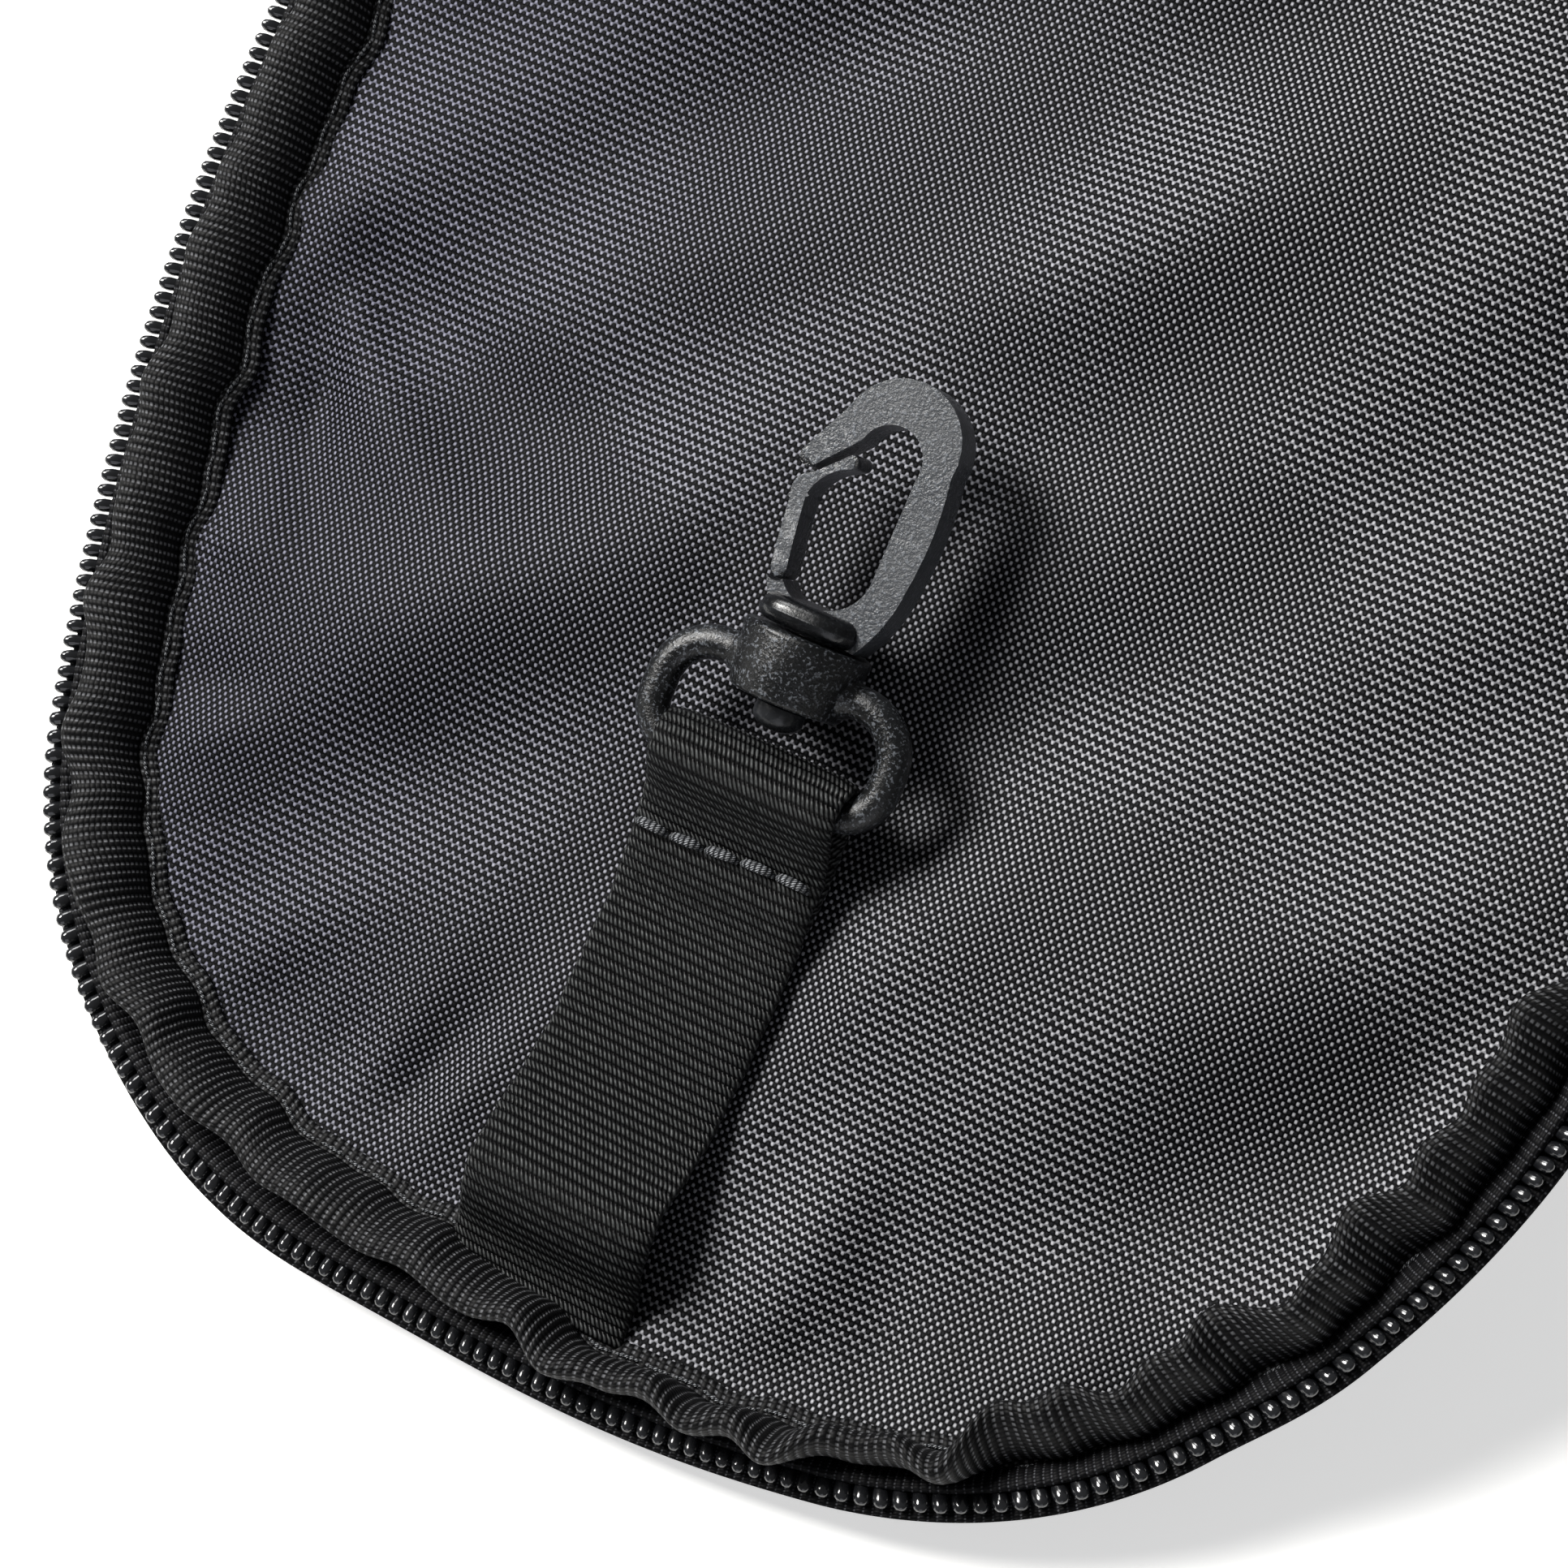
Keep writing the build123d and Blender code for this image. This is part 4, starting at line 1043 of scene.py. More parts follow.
def makeStrap():
    rise, over, back = strapLine()
    line = splineThrough(rise + over + back, 190)
    mesh = webbingSweep("hookStrap", line)
    piece = finishPiece("hookStrap", mesh, None, webbing, ["hook_strap", "strap_root"])
    tuple(onLid(0, bag["length"] - strap["bendStart"], 6.4))
    tuple(onLid(0, bag["length"] - strap["bendEnd"], 6.4))
    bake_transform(piece)
    place = int(np.argmin(np.abs(line[:150, 0] - strap["stitchAt"]) + 9 * (line[:150, 1] < 1.2)))
    across = np.linspace(-9.6, 9.4, 40)
    drift = strap["stitchAt"] + 0.35 * np.sin(across / 4.1)
    height = np.interp(drift, line[: place + 12, 0], line[: place + 12, 1]) + strap["thickness"] / 2 + 0.62
    points = onLid(across, bag["length"] - drift, height)
    up = np.tile(np.array(lidDirection(0, -0.25, 1)), (len(points), 1))
    mesh = stitchRow("strapStitches", points, up, strapThread)
    finishPiece("strapStitches", mesh, "strap", threadGrey, [])


# Swivel ring, pin, hook and gate, in the hook's own frame: across, along the swivel axis, out of its face


hook = {
    "rise": math.radians(7.0),  # of the swivel axis off the lining
    "low": 14.4, "top": 40.0, "eyeLow": 17.0, "thickness": 4.7,
    "gateRoot": 19.0, "gateSide": -4.8, "gateThickness": 4.1, "edge": 0.42,
    "collarRadius": 5.25, "collarStart": 14.4, "collarEnd": 17.1,
}
ring = {
    "halfWidth": (ringHigh.x - ringLow.x) / mm / 2 - ringWire, "wire": ringWire, "reach": 10.4,
    "nearBend": 3.6, "farBend": 5.0,
    "barrelStart": 7.5, "barrelEnd": 14.1, "barrelNear": 5.65, "barrelFar": 6.4,
}


def onHook(across, along, out):
    across, along, out = np.broadcast_arrays(across, along, out)
    cos, sin = math.cos(hook["rise"]), math.sin(hook["rise"])
    fromEnd = strap["barFromEnd"] + along * cos - out * sin
    height = strap["barHeight"] + along * sin + out * cos
    return onLid(across, bag["length"] - fromEnd, height)


def arcThrough(start, middle, stop, count):
    # points on the circle through three points, without the last
    (ax, ay), (bx, by), (cx, cy) = start, middle, stop
    d = 2 * (ax * (by - cy) + bx * (cy - ay) + cx * (ay - by))
    ux = ((ax**2 + ay**2) * (by - cy) + (bx**2 + by**2) * (cy - ay) + (cx**2 + cy**2) * (ay - by)) / d
    uy = ((ax**2 + ay**2) * (cx - bx) + (bx**2 + by**2) * (ax - cx) + (cx**2 + cy**2) * (bx - ax)) / d
    radius = math.hypot(ax - ux, ay - uy)
    first, mid, last = (math.atan2(y - uy, x - ux) for x, y in (start, middle, stop))
    turn = (last - first) % (2 * math.pi)
    if (mid - first) % (2 * math.pi) > turn:
        turn -= 2 * math.pi
    angles = first + turn * np.linspace(0, 1, count, endpoint=False)
    return [(ux + radius * math.cos(g), uy + radius * math.sin(g)) for g in angles]


def smoothOutline(runs, spacing=0.35):
    # runs are straight (two points) or round (three points); returns evenly spaced points round the outline
    points = []
    for run in runs:
        if len(run) == 3:
            points += arcThrough(*run, count=14)
        else:
            points += [tuple(run[0])]
    closed = np.array(points + points[:1])
    steps = np.linalg.norm(np.diff(closed, axis=0), axis=1)
    result = []
    for start, stop, step in zip(closed[:-1], closed[1:], steps):
        parts = max(1, int(round(step / spacing)))
        result += [start + (stop - start) * k / parts for k in range(parts)]
    return np.array(result)


def bevelledPlate(name, outlinePoints, thickness, edge):
    # a moulded plate with its rim edges rounded; the corners of its outline stay crisp
    half = thickness / 2
    work = bmesh.new()
    low = [work.verts.new(tuple(onHook(u, s, -half))) for u, s in outlinePoints]
    high = [work.verts.new(tuple(onHook(u, s, half))) for u, s in outlinePoints]
    work.faces.new(low[::-1])
    work.faces.new(high)
    for k in range(len(low)):
        after = (k + 1) % len(low)
        work.faces.new((low[k], low[after], high[after], high[k]))
    work.edges.ensure_lookup_table()
    rims = [e for e in work.edges if any(len(f.verts) > 4 for f in e.link_faces)]
    bmesh.ops.bevel(work, geom=rims, offset=edge * mm, segments=3, profile=0.6, affect="EDGES",
                    clamp_overlap=True)
    bmesh.ops.triangulate(work, faces=[f for f in work.faces if len(f.verts) > 4])
    bmesh.ops.recalc_face_normals(work, faces=work.faces)
    mesh = bpy.data.meshes.new(name)
    work.to_mesh(mesh)
    work.free()
    return mesh


def lathe(name, profile, sides=48, square=2.0):
    # a solid round the swivel axis: profile is (along, radius), closed on the axis at both ends
    angles = np.arange(sides) * 2 * math.pi / sides
    sin, cos = np.sin(angles), np.cos(angles)
    reach = (np.abs(sin) ** square + np.abs(cos) ** square) ** (-1 / square)  # 2 is round, more is squarer
    profile = np.asarray(profile, float)
    rings = onHook(profile[:, 1, None] * (sin * reach)[None], profile[:, 0, None] + 0 * angles[None],
                   profile[:, 1, None] * (cos * reach)[None])
    return sweepMesh(name, rings)


def roundedProfile(start, startRadius, stop, stopRadius, rounding):
    # a straight-sided barrel's half section with rounded ends
    bend = np.linspace(0, math.pi / 2, 7)
    first = [(start + rounding * (1 - math.cos(g)), startRadius - rounding * (1 - math.sin(g)))
             for g in bend]
    last = [(stop - rounding * (1 - math.sin(g)), stopRadius - rounding * (1 - math.cos(g))) for g in bend]
    tip = 0.05
    return [(start, tip), (start, startRadius - rounding)] + first + last + [(stop, tip)]


def makeRing():
    wide, reach = ring["halfWidth"], ring["reach"]
    near, far = ring["nearBend"], ring["farBend"]
    bend = np.linspace(0, math.pi / 2, 12)
    right = [(k, 0.0) for k in np.linspace(0, wide - near, 8)]
    right += [(wide - near + near * math.sin(g), near - near * math.cos(g)) for g in bend[1:]]
    right += [(wide - far + far * math.cos(g), reach - far + far * math.sin(g)) for g in bend]
    right += [(k, reach) for k in np.linspace(wide - far, 0, 8)[1:]]
    loop = np.array(right + [(-u, s) for u, s in right[-2:0:-1]])
    points = np.array([[u, s, 0] for u, s in loop])
    tangents = np.roll(points, -1, 0) - np.roll(points, 1, 0)
    tangents /= np.linalg.norm(tangents, axis=1)[:, None]
    sideways = np.stack([tangents[:, 1], -tangents[:, 0]], 1)
    sides = 16
    angles = np.arange(sides) * 2 * math.pi / sides
    rings = []
    for point, side in zip(points, sideways):
        offset = (np.cos(angles)[:, None] * np.array([side[0], side[1], 0])
                  + np.sin(angles)[:, None] * np.array([0, 0, 1]))
        ringPoints = point + offset * ring["wire"]
        rings.append(onHook(ringPoints[:, 0], ringPoints[:, 1], ringPoints[:, 2]))
    rings = np.array(rings)
    wire = sweepMesh("wire", rings, loop=True, uv=np.zeros((len(rings) + 1, sides + 1, 2)))
    barrel = lathe("barrel", roundedProfile(ring["barrelStart"], ring["barrelNear"], ring["barrelEnd"],
                                            ring["barrelFar"], 0.5))
    for side in (-1, 1):  # the wire swells where it runs into the barrel
        spots = np.array([[side * k, reach, 0] for k in np.linspace(4.6, 7.6, 9)])
        radii = ring["wire"] + 0.7 * (1 - smooth(np.abs(spots[:, 0]), 5.2, 7.2)) ** 1.5
        rings = tubeRings(onHook(spots[:, 0], spots[:, 1], spots[:, 2]), radii * mm, sides)
        barrel = joinMeshes("barrel", [barrel, sweepMesh("fillet", rings)])
    finishPiece("swivelRing", joinMeshes("swivelRing", [wire, barrel]), "ring", blackAcetal, ["swivel_ring"],
                sharp=40)


def makePin():
    head = [(4.75, 0.05), (4.8, 0.9), (5.05, 1.7), (5.45, 2.25), (6.0, 2.5), (7.1, 2.45), (7.38, 1.95)]
    shaft = [(12.0, 1.95), (16.0, 1.95), (16.0, 0.05)]
    finishPiece("swivelPin", lathe("swivelPin", head + shaft, 32), "hook", smoothAcetal, ["swivel_pin"],
                35)


def hookOutline():
    low, top, eye, seat = hook["low"], hook["top"], hook["eyeLow"], 1.1
    side, root = hook["gateSide"], hook["gateRoot"]
    drop = math.sqrt(seat**2 - 0.9**2)
    right, left = (side + 0.9, root - drop), (side - 0.9, root - drop)
    return smoothOutline([
        ((-4.2, low + 1.0), (5.2, low)),
        ((5.2, low), (6.9, low + 3.4), (7.7, low + 7.2)),
        ((7.7, low + 7.2), (8.1, low + 11.5), (7.6, top - 7.2)),
        ((7.6, top - 7.2), (2.2, top), (-4.2, top - 4.6)),
        ((-4.2, top - 4.6), (-6.9, top - 9.8)),
        ((-6.9, top - 9.8), (-6.5, top - 11.0), (-5.3, top - 10.8)),
        ((-5.3, top - 10.8), (-1.8, top - 7.0)),
        ((-1.8, top - 7.0), (2.3, top - 4.6), (4.5, top - 8.6)),
        ((4.5, top - 8.6), (4.3, eye + 4.0)),
        ((4.3, eye + 4.0), (2.6, eye + 0.9), (-0.6, eye)),
        ((-0.6, eye), (-2.8, eye + 0.3), right),
        (right, (side, root - seat), left),
    ])


def gateOutline():
    return smoothOutline([
        ((-5.6, 19.0), (-4.8, 18.2), (-4.0, 19.0)),
        ((-4.0, 19.0), (-4.6, 23.0), (-5.0, 26.4)),
        ((-5.0, 26.4), (-4.5, 27.8), (-1.6, 30.2)),
        ((-1.6, 30.2), (-1.3, 31.1), (-2.1, 31.5)),
        ((-2.1, 31.5), (-5.2, 28.5)),
        ((-5.2, 28.5), (-6.5, 27.4), (-6.4, 25.8)),
        ((-6.4, 25.8), (-6.1, 22.6), (-5.6, 19.0)),
    ], 0.25)


def makeHook():
    plate = bevelledPlate("plate", hookOutline(), hook["thickness"], hook["edge"])
    profile = roundedProfile(hook["collarStart"], hook["collarRadius"],
                             hook["collarEnd"], hook["collarRadius"] - 0.15, 1.25)
    collar = lathe("collar", profile, 56, 3.2)
    finishPiece("hookCollar", collar, "hook", smoothAcetal, [], sharp=40)
    finishPiece("snapHook", plate, "hook", blackAcetal, ["snap_hook"], sharp=32, evened=True)
    gate = bevelledPlate("hookGate", gateOutline(), hook["gateThickness"], 0.3)
    finishPiece("hookGate", gate, "gate", blackAcetal, ["hook_gate"], sharp=32, evened=True)


makeStrap()
makeRing()
makePin()
makeHook()
print("strap, ring and hook made")


# Tub: outer wall and base, piping, padding and lining, the bound top edge with its zip, and the hinge


tub = {
    "hingeCorner": 4.0,  # radius of the upright corners beside the hinge wall
    "liningCorner": 15.0,
    "belly": 1.9,  # how far the side wall swells out half way up
    "padding": 2.3,
    "wallTop": bag["wallHeight"],
    "pipingRadius": 1.65, "pipingOut": 1.75, "pipingHeight": 2.3,
    "bindingLow": 57.9,
    "zipSeam": 0.05, "zipEdge": 8.5, "coilOuter": 7.8,
}


def wholeLoop(spacing, corner):
    # places right round the tub: its rim, then back along the hinge wall through two round corners
    st = rim(corner, spacing)
    half = bag["halfWidth"]
    bend = np.linspace(0, math.pi / 2, 7)
    run = np.linspace(half - corner, corner - half, int((half - corner) * 2 / spacing))
    right = [(half - corner + corner * math.cos(g), corner - corner * math.sin(g), math.cos(g), -math.sin(g))
             for g in bend[1:]]
    level = [(x, 0, 0, -1) for x in run[1:-1]]
    left = [(corner - half - corner * math.sin(g), corner - corner * math.cos(g), -math.sin(g), -math.cos(g))
            for g in bend[:-1]]
    added = np.array(right + level + left)
    result = {key: np.concatenate([st[key], added[:, k]]) for k, key in enumerate(("x", "t", "nx", "nt"))}
    steps = np.hypot(np.diff(result["x"], append=result["x"][0]),
                     np.diff(result["t"], append=result["t"][0]))
    result["path"] = np.concatenate([[0], np.cumsum(steps)[:-1]])
    result["around"] = steps.sum()
    # one turn of the tub is counted alike for every layer, so that their swells stay in step
    sharp = tub["hingeCorner"]
    straight, reach = result["path"][len(st["x"]) - 1], corner - sharp
    full = straight + 2 * reach + math.pi * sharp + 2 * (half - sharp)
    counted = np.interp(result["path"], [0, straight, result["around"]],
                        [reach, reach + straight, reach + full])
    result["turn"] = 2 * math.pi * counted / full
    return result


def loopWave(st, repeats, seed, count=3):
    # like waves, but it meets itself at the end of the loop
    draw = np.random.default_rng(seed)
    turn = st["turn"]
    total = 0
    for step in range(count):
        total = total + np.sin(turn * int(repeats * draw.uniform(0.6, 1.6)) + draw.uniform(0, 6.28))
    return total / (0.62 * count)


def wallSwell(st, z):
    # how far the wall stands out at each height: a belly, slack folds and puckers beside both seams
    share = np.clip(z / tub["wallTop"], 0, 1)
    belly = np.sin(math.pi * share) ** 0.8
    soft = smooth(st["t"], -1, 26)[:, None] * 0.82 + 0.18
    amount = tub["belly"] + 0.75 * loopWave(st, 9, 51)[:, None]
    turn = st["turn"][:, None]
    slack = 0.5 * np.sin(turn * 23 + 3.2 * share + 1.3 * np.sin(turn * 5)) * belly
    slack = slack + 0.32 * np.sin(turn * 37 - 5.1 * share) * belly
    low = 0.28 * loopWave(st, 70, 52)[:, None] * np.exp(-z / 7)
    high = 0.26 * loopWave(st, 84, 53)[:, None] * np.exp(-(tub["wallTop"] - z) / 7)
    return (amount * belly + slack + low + high) * soft


def wallPoints(st, out, z):
    # a layer of the wall: out is counted from the swelling outer face
    return onTub(*standOff(st, out + wallSwell(st, z)), z)


def wallLayer(name, st, outer, inner, z):
    # a closed band right round the tub between two layers of the wall
    rows = len(st["path"])
    outer, inner, z = (np.broadcast_to(v, (rows, np.shape(z)[-1])) for v in (outer, inner, z))
    rings = wallPoints(st, thereAndBack(outer, inner), thereAndBack(z, z))
    path = np.append(st["path"], st["around"])
    height = np.concatenate([z[0], z[0, ::-1], z[0, :1]])
    uv = np.stack(np.broadcast_arrays(path[:, None], height[None]), -1) * mm
    return sweepMesh(name, rings, loop=True, uv=uv)


def padDepth(z):
    # the padding stops below the binding, so that the lining can tuck in beneath its edge
    return 0.3 + tub["padding"] * smooth(tub["wallTop"] - z, 8, 19) * smooth(z, 1, 6)


def makeTubWall():
    st = wholeLoop(1.1, tub["hingeCorner"])
    top = tub["wallTop"]
    z = np.concatenate([[1.2, 2.2], np.linspace(3.5, top - 1.5, 22), [top]])[None]
    shell = wallLayer("tubShell", st, 0 * z, 0 * z - 1.0, z)
    shell = finishPiece("tubShell", shell, "tub", shellNylon, ["gusset_shell", "hinge_wall"])
    z = np.linspace(3.6, top - 2.2, 22)[None]
    pad = wallLayer("tubPadding", st, 0 * z - 1.03, -1.05 - padDepth(z), z)
    pad = finishPiece("tubPadding", pad, "tub", foamGrey, ["wall_pad"])


def tubPlace(st, out, height):
    return onTub(*standOff(st, out), height)


def sewRow(name, points, ups):
    finishPiece(name, stitchRow(name, points, ups, seamThread), "tub", threadGrey, [])


def makeTubBase():
    st = rim(3.0, 1.2)
    edge = np.zeros(len(st["path"])) + 0.4
    net = patchGrid(st, edge, 60, 88, 0.0)
    distance, _ = nearRim(net, st, edge)
    lift = 0.45 * (1 - smooth(distance, 0, 7))
    ripple = 0.12 * waves(net[..., 1] - 0.4 * net[..., 0], 30, 71) * smooth(distance, 2, 12)
    base = slabMesh("tubBase", onTub(net[..., 0], net[..., 1], 1.05 + lift + 0 * distance),
                    onTub(net[..., 0], net[..., 1], np.maximum(0.0, 0.05 + lift + ripple)), net * mm)
    base = finishPiece("tubBase", base, "tub", shellNylon, ["back_panel"])
    st = rim(0.5, 0.6)
    radius = tub["pipingRadius"] * (1 + 0.05 * waves(st["path"], 8, 72))
    out = tub["pipingOut"] + 0.12 * waves(st["path"], 15, 73)
    angles = np.arange(12) * 2 * math.pi / 12
    ringOut = out[:, None] + radius[:, None] * np.cos(angles)[None]
    height = tub["pipingHeight"] + radius[:, None] * np.sin(angles)[None]
    rings = tubPlace(st, ringOut, np.maximum(height, 0.45))
    finishPiece("tubPiping", sweepMesh("tubPiping", rings), "tub", shellNylon, ["back_piping"])


def makeTubLining():
    st = wholeLoop(1.3, tub["liningCorner"])
    turn = np.linspace(0, math.pi / 2, 7)
    upright, foot = 17, 5.5  # rows down the wall, and the radius at its foot
    inset = np.concatenate([np.zeros(upright), foot - foot * np.cos(turn), [8.0, 10.5]])
    down = np.linspace(tub["wallTop"] - 1.8, 10.5, upright)
    z = np.concatenate([down, 9.8 - foot * np.sin(turn), [4.22, 4.18]])
    inward = np.concatenate([np.ones(upright), np.cos(turn), [0.0, 0.0]])
    slack = np.sin(math.pi * z / tub["wallTop"])[None]
    fold = 0.45 * (1 + loopWave(st, 22, 61))[:, None] * slack**0.8
    around = st["turn"][:, None]
    fold = fold + 0.4 * np.sin(around * 31 + z[None] / 8) * slack
    out = -1.5 - padDepth(z)[None] - inset[None] - np.maximum(fold, 0.1)
    rows = np.broadcast_to(z, out.shape)
    top = thereAndBack(out - 0.25 * inward[None], out + 0.25 * inward[None])
    high = thereAndBack(rows + 0.25 * (1 - inward)[None], rows - 0.25 * (1 - inward)[None])
    rings = wallPoints(st, top, high)
    path = np.append(st["path"], st["around"])
    girth = np.concatenate([[0], np.cumsum(np.hypot(np.diff(inset), np.diff(z)))])
    girth = np.concatenate([girth, girth[::-1], girth[:1]])
    uv = np.stack(np.broadcast_arrays(path[:, None], girth[None]), -1) * mm
    wall = finishPiece("tubLiningWall", sweepMesh("tubLiningWall", rings, loop=True, uv=uv), "tub",
                       liningNylon, ["tub_lining"])
    st = rim(3.0, 1.0)
    edge = np.zeros(len(st["path"])) - 9.5
    net = patchGrid(st, edge, 84, 120, 9.5)
    distance, _ = nearRim(net, st, edge)
    ripple = (0.22 * waves(net[..., 1] + 0.5 * net[..., 0], 26, 62)
              + 0.2 * waves(net[..., 0] - 0.3 * net[..., 1], 18, 63))
    height = 4.5 + (0.35 + ripple) * smooth(distance, 0, 12)
    floor = slabMesh("tubLiningFloor", onTub(net[..., 0], net[..., 1], height),
                     onTub(net[..., 0], net[..., 1], height - 0.4), net * mm)
    floor = finishPiece("tubLiningFloor", floor, "tub", liningNylon, [])


def makeTubBinding():
    # grosgrain folded over the raw edges inside the wall's top
    st = wholeLoop(0.7, tub["hingeCorner"] + 2)
    top, low = tub["wallTop"], tub["bindingLow"]
    wave = 0.14 * loopWave(st, 110, 81)[:, None]
    outer = np.array([-1.05, -1.05, -1.05, -1.35])[None] + 0 * wave
    z = np.array([low, (low + top) / 2, top - 1.4, top - 0.6])[None] + 0 * wave
    inner = np.array([-2.3, -3.0, -3.25, -2.9])[None] + wave
    zInner = np.array([top - 0.75, top - 2.2, (low + top) / 2, low - 0.1])[None] + 0.8 * wave
    rings = wallPoints(st, np.concatenate([outer, inner], 1), np.concatenate([z, zInner], 1))
    path = np.append(st["path"], st["around"])
    girth = np.array([0, 4, 8, 9, 10, 12, 15, 18, 20.0])
    uv = np.stack(np.broadcast_arrays(path[:, None], girth[None]), -1) * mm
    finishPiece("tubBinding", sweepMesh("tubBinding", rings, loop=True, uv=uv), "tub", bindingGrosgrain,
                ["tub_binding", "hinge_wall_binding"])
    level = np.zeros((len(st["path"]), 1))
    points = wallPoints(st, level - 3.32, level + low + 1.6)[:, 0]
    inwards = np.stack([-st["nx"], -st["nt"], 0 * st["nx"]], 1)
    sewRow("tubBindingStitches", points, inwards)


def tubTapeHeight(out):
    # the tub's tape leans out from the wall's top
    return tub["wallTop"] + np.maximum(out - tub["zipSeam"], -0.4)


def makeTubZip():
    st = rim(4.0, 0.55)
    level = np.zeros(len(st["path"]))
    edge = level + tub["zipEdge"] + 0.18 * waves(st["path"], 14, 91)
    outer = level + tub["coilOuter"] + 0.1 * waves(st["path"], 16, 92)
    makeZip("tub", st, level - 1.0, edge, level - 2.0, tubTapeHeight, outer, tubPlace, "tub", "tub", 1)
    rows = np.array([1.4])[None] + level[:, None]
    points = tubPlace(st, rows, tubTapeHeight(rows) + 0.4)[:, 0]
    lean = math.sqrt(0.5)
    ups = np.stack([-st["nx"] * lean, -st["nt"] * lean, level + lean], 1)
    sewRow("tubZipStitches", points, ups)


def alongHinge(name, halfWidth, section, place, material, replaced, body, ripple=0.12):
    # a strip across the bag beside the hinge; section is (distance from the hinge, height) right round it
    x = np.linspace(-halfWidth, halfWidth, 190)
    section = np.asarray(section, float)
    t = section[None, :, 0] + ripple * waves(x, 13, len(name))[:, None]
    height = section[None, :, 1] + ripple * waves(x, 8, len(name) + 3)[:, None]
    rings = place(x[:, None], t, height)
    return finishPiece(name, sweepMesh(name, rings), body, material, replaced)


def makeHinge():
    # a rolled fabric bead on the tub, and the lid's flap that turns about it
    radius = bag["beadRadius"]
    top = tub["wallTop"]
    angles = np.radians(np.linspace(-58, 238, 17))
    bead = [(radius * math.cos(g), bag["hingeHeight"] + radius * math.sin(g)) for g in angles]
    web = [(-0.45, 71.0), (-0.4, top + 2), (-0.3, top - 0.4), (0.8, top - 0.4), (0.6, top + 2), (0.5, 71.0)]
    alongHinge("hingeRoll", 71.0, bead + web, onTub, shellNylon, ["hinge_bead"], "tub", 0.0)
    line = splineThrough([(1.55, 5.1), (2.6, 3.4), (4.2, 1.2), (5.6, -0.7), (6.7, -2.2)], 14)
    tangent = np.gradient(line, axis=0)
    normal = np.stack([-tangent[:, 1], tangent[:, 0]], 1) / np.linalg.norm(tangent, axis=1)[:, None]
    flap = np.vstack([line + normal * 0.45, (line - normal * 0.45)[::-1]])
    alongHinge("lidHingeFlap", 70.5, flap, onLid, shellNylon, ["lid_hinge_web"], "lid", 0.0)
    spots = np.linspace(0, 1, 13)
    cover = np.stack([6.6 + 8.2 * spots, 1.35 - 1.1 * np.abs(2 * spots - 1) ** 4], 1)
    under = np.stack([6.6 + 8.2 * spots[::-1], 0.12 + 0 * spots], 1)
    alongHinge("lidHingeBinding", 69.5, np.vstack([cover, under]), onLid, bindingGrosgrain,
               ["lid_hinge_binding"], "lid", 0.06)
    x = np.linspace(-68.5, 68.5, 120)
    up = np.tile(np.array(lidDirection(0, 0, 1)), (len(x), 1))
    rows = [stitchRow("row", onLid(x, t, 1.42), up, seamThread) for t in (8.0, 13.3)]
    finishPiece("lidHingeStitches", joinMeshes("lidHingeStitches", rows), "lid", threadGrey, [])


# Net pocket on the tub's floor, with its gathered elastic mouth


pocket = {"inset": 17.0, "mouth": 101.0, "cell": 3.4, "thread": 0.42, "height": 5.3, "billow": 2.4,
          "tape": 5.0}


def pocketHeight(x, t):
    share = np.clip((t - pocket["mouth"]) / 97, 0, 1)
    side = np.clip(np.abs(x) / 55, 0, 1)
    belly = np.sin(math.pi * np.minimum(1, share + 0.18)) * (1 - side**2)
    return pocket["height"] + pocket["billow"] * np.maximum(belly, 0) * (1 + 0.25 * np.sin(x / 6 + t / 13))


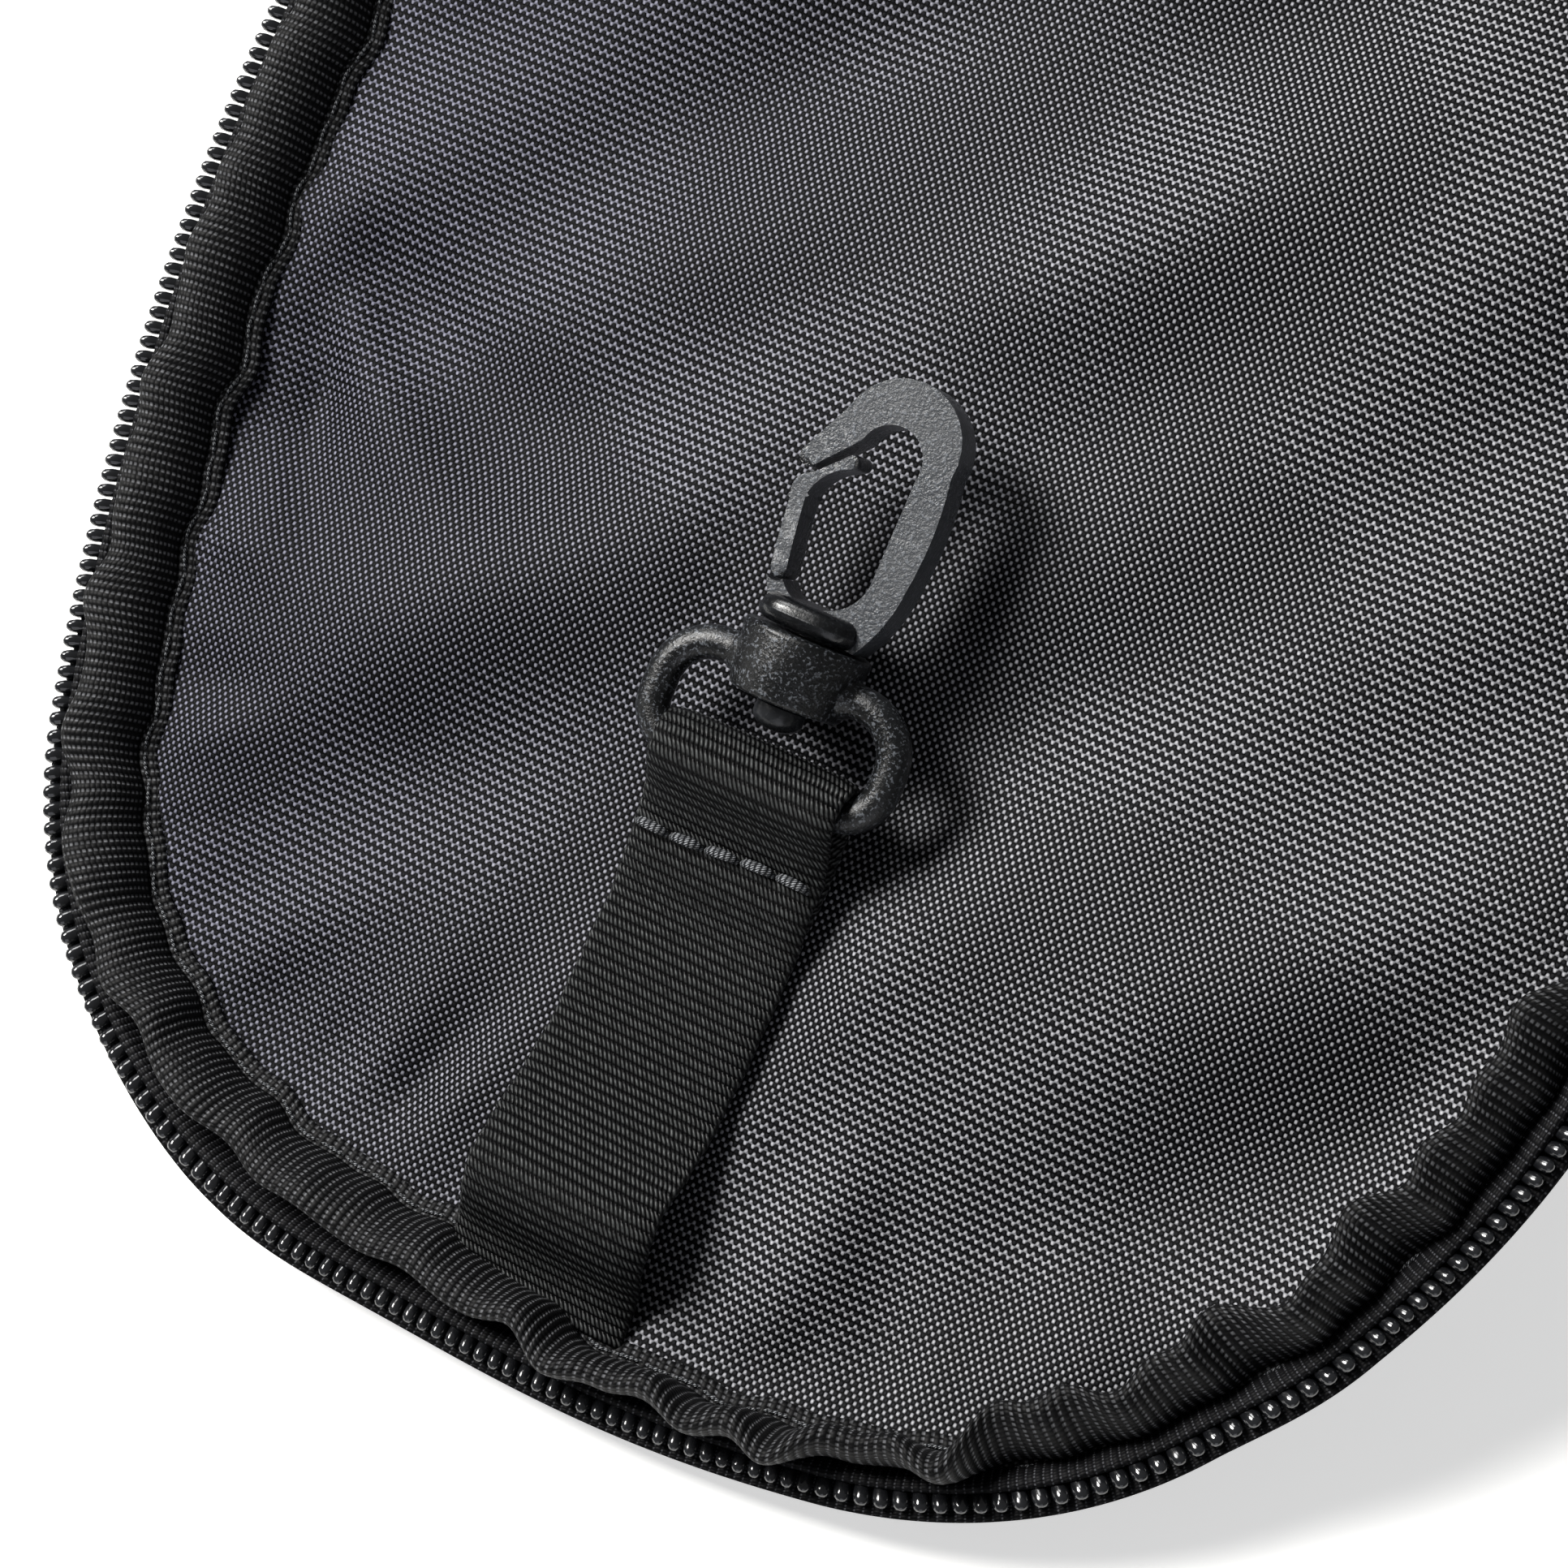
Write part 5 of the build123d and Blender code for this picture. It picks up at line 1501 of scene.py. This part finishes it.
def makePocket():
    step = pocket["cell"] / 2
    edge = outline[:, :2]
    columns = np.arange(-34, 35)
    rows = np.arange(0, 60)
    spots = {}
    places = []
    for i in columns:
        for j in rows:
            if (i + j) % 2 == 0:
                x, t = i * step, pocket["mouth"] + j * step
                if np.min(np.hypot(edge[:, 0] - x, edge[:, 1] - t)) > pocket["inset"] and t < bag["length"]:
                    spots[(i, j)] = len(places)
                    places.append((x, t))
    places = np.array(places)
    draw = np.random.default_rng(5)
    shifted = places + draw.uniform(-0.16, 0.16, places.shape)
    points = onTub(shifted[:, 0], shifted[:, 1], pocketHeight(shifted[:, 0], shifted[:, 1]))
    faces = []
    for i in columns:
        for j in rows:
            corners = [(i - 1, j), (i, j - 1), (i + 1, j), (i, j + 1)]
            if (i + j) % 2 == 1 and all(c in spots for c in corners):
                faces.append([spots[c] for c in corners])
    mesh = bpy.data.meshes.new("pocketNet")
    mesh.from_pydata(points.tolist(), [], faces)
    work = bmesh.new()
    work.from_mesh(mesh)
    bmesh.ops.delete(work, geom=[v for v in work.verts if not v.link_faces], context="VERTS")
    bmesh.ops.wireframe(work, faces=work.faces, thickness=pocket["thread"] * mm, use_replace=True,
                        use_boundary=True, use_even_offset=True)
    work.to_mesh(mesh)
    work.free()
    outwards(mesh)
    mesh.uv_layers.new(name="UVMap")
    net = finishPiece("pocketNet", mesh, "tub", netThread, ["mesh_pocket"])
    st = rim(0.5, 0.8)
    keep = st["t"] + st["nt"] * -(pocket["inset"] - 2.0) > pocket["mouth"] - 6
    st = {key: value[keep] for key, value in st.items()}
    spots = np.linspace(-1, 1, 9)
    uneven = 0.12 * waves(st["path"], 9, 95)[:, None]
    out = -pocket["inset"] - 0.2 + pocket["tape"] / 2 * spots[None] + uneven
    cover = pocket["height"] + 0.55 - 0.5 * np.abs(spots[None]) ** 3 + 0 * out
    rings = tubPlace(st, thereAndBack(out, out), thereAndBack(cover, 0 * cover + 4.6))
    tape = finishPiece("pocketTape", sweepMesh("pocketTape", rings), "tub", bindingGrosgrain, [])
    x = np.linspace(-54.5, 54.5, 240)
    spots = np.linspace(0, 1, 9)
    t = 92.3 + 9.4 * spots[None] + 0.35 * np.sin(x / 1.1)[:, None]
    ruffle = 0.32 * np.sin(x / 0.72 + 0.8 * np.sin(x / 7))[:, None] * (0.35 + np.abs(2 * spots - 1))[None]
    cover = 6.1 + ruffle - 0.7 * np.abs(2 * spots - 1)[None] ** 4
    rings = onTub(x[:, None], thereAndBack(t, t), thereAndBack(cover, cover - 1.1))
    finishPiece("pocketElastic", sweepMesh("pocketElastic", rings), "tub", elasticWeave, ["pocket_elastic"])
    rows = np.zeros((len(st["path"]), 1)) - pocket["inset"] - 0.2
    points = tubPlace(st, rows, rows * 0 + pocket["height"] + 0.62)[:, 0]
    ups = np.tile([0.0, 0.0, 1.0], (len(points), 1))
    sewRow("pocketStitches", points, ups)
    return net, tape


# Carry handle on the right wall: a webbing arch whose ends lie flat on the wall under box stitching


handle = {"low": 20.0, "high": 40.0, "thickness": 1.4, "middle": 78.0,
          "thread": {"pitch": 2.6, "radius": 0.28}}


def makeHandle():
    wall = bag["halfWidth"] + tub["belly"] + 0.55
    halfLine = [(wall, -52), (wall + 0.1, -45), (wall + 0.35, -37.5), (wall + 3.6, -30.5),
                (wall + 9.2, -23.5), (wall + 13.4, -15.5), (88.9, -7.0), (89.2, 0)]
    points = halfLine + [(x, -t) for x, t in halfLine[-2::-1]]
    line = splineThrough(points, 130)
    tangent = np.gradient(line, axis=0)
    tangent /= np.linalg.norm(tangent, axis=1)[:, None]
    normal = np.stack([tangent[:, 1], -tangent[:, 0]], 1)
    path = np.concatenate([[0], np.cumsum(np.linalg.norm(np.diff(line, axis=0), axis=1))])
    z = np.linspace(handle["low"], handle["high"], 15)
    middle = (z - z.mean()) / (z[-1] - z.mean())
    thick = handle["thickness"] / 2 * np.sqrt(np.clip(1 - np.abs(middle * 0.995) ** 12, 0.04, 1))
    arch = smooth(line[:, 0], wall + 0.5, wall + 8)[:, None]
    curl = -0.9 * arch * (middle[None] ** 2) - 0.12 * (1 - arch) * middle[None] ** 2
    sag = -1.1 * arch
    upper, lower = curl + thick[None], curl - thick[None]
    lift, height = thereAndBack(upper, lower), thereAndBack(z[None] + sag, z[None] + sag)
    x = line[:, 0, None] + normal[:, 0, None] * lift
    t = handle["middle"] + line[:, 1, None] + normal[:, 1, None] * lift
    uv = np.stack(np.broadcast_arrays(path[:, None], np.concatenate([z, z[::-1], z[:1]])[None]), -1) * mm
    finishPiece("carryHandle", sweepMesh("carryHandle", onTub(x, t, height), uv=uv), "tub", webbing,
                ["carry_handle"])
    low, high = handle["low"] + 1.8, handle["high"] - 1.8
    meshes = []
    for side in (-1, 1):
        near, far = handle["middle"] + side * 50.5, handle["middle"] + side * 39.5
        paths = [[(near, low), (far, low), (far, high), (near, high), (near, low)],
                 [(near, low), (far, high)],
                 [(near, high), (far, low)]]
        for corners in paths:
            corners = np.array(corners, float)
            legs = [np.linspace(a, b, 14, endpoint=False) for a, b in zip(corners[:-1], corners[1:])]
            dense = np.vstack(legs + [corners[-1:]])
            wallAt = np.interp(dense[:, 0] - handle["middle"], line[:, 1], line[:, 0])
            shown = wallAt + handle["thickness"] / 2 + 0.18
            ups = np.tile([1.0, 0.0, 0.0], (len(dense), 1))
            meshes.append(stitchRow("box", onTub(shown, dense[:, 0], dense[:, 1]), ups, handle["thread"]))
    finishPiece("handleStitches", joinMeshes("handleStitches", meshes), "tub", threadGrey, [])


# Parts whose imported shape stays: they get their finish and small rounded edges


def dressNodes():
    finishes = {"slider": dieCastBlack, "pull": dieCastBlack, "zip": dieCastBlack, "back": boardPlastic}
    for name, piece in frame["nodes"].items():
        kind = name.split("_")[0]
        if kind not in finishes or name in ("back_panel", "back_piping"):
            continue
        if not piece.material_slots:
            piece.data.materials.append(finishes[kind])
        for slot in piece.material_slots:
            slot.material = finishes[kind]
        if kind != "back":
            rounded = piece.modifiers.new("roundedEdges", "BEVEL")
            rounded.width = 0.3 * mm
            rounded.segments = 3
            rounded.limit_method = "ANGLE"
            rounded.angle_limit = math.radians(40)
            even = piece.modifiers.new("evenShading", "WEIGHTED_NORMAL")
            even.keep_sharp = True


netThread = mouldedPlastic("knittedPolyesterNet", {  # soft round threads with a faint shine
    **acetal, "fleck": 0.1, "colour": "#17181a", "grain": 0.3, "relief": 0.1, "roughness": 0.5,
    "specular": 0.4, "wear": 0.1})
# rubber threads wrapped in polyester, drawn up in ripples
elasticWeave = ribbedTape("coveredElasticWeave", {
    **grosgrain, "rib": 1.3, "dash": 0.45, "dark": "#101113", "light": "#4a4b4e"})
# dark plating wears bright along its edges
dieCastBlack = mouldedPlastic("blackElectroplatedZincDieCasting", {
    **acetal, "fleck": 0.0, "colour": "#101113", "wearAndGlintColour": "#8a8c90", "wear": 0.25, "grain": 0.5,
    "relief": 0.03,
    "roughness": 0.28, "metallic": 1.0, "specular": 0.5, "ior": 1.5})
boardPlastic = mouldedPlastic("extrudedPolyethyleneBoard", {  # a waxy sheet that is cut to shape
    **acetal, "fleck": 0.1, "colour": "#26272a", "grain": 1.2, "relief": 0.05, "roughness": 0.55,
    "specular": 0.4})
makeTubWall()
makeTubBase()
makeTubLining()
makeTubBinding()
makeTubZip()
makeHinge()
makePocket()
makeHandle()
dressNodes()
print("tub made")
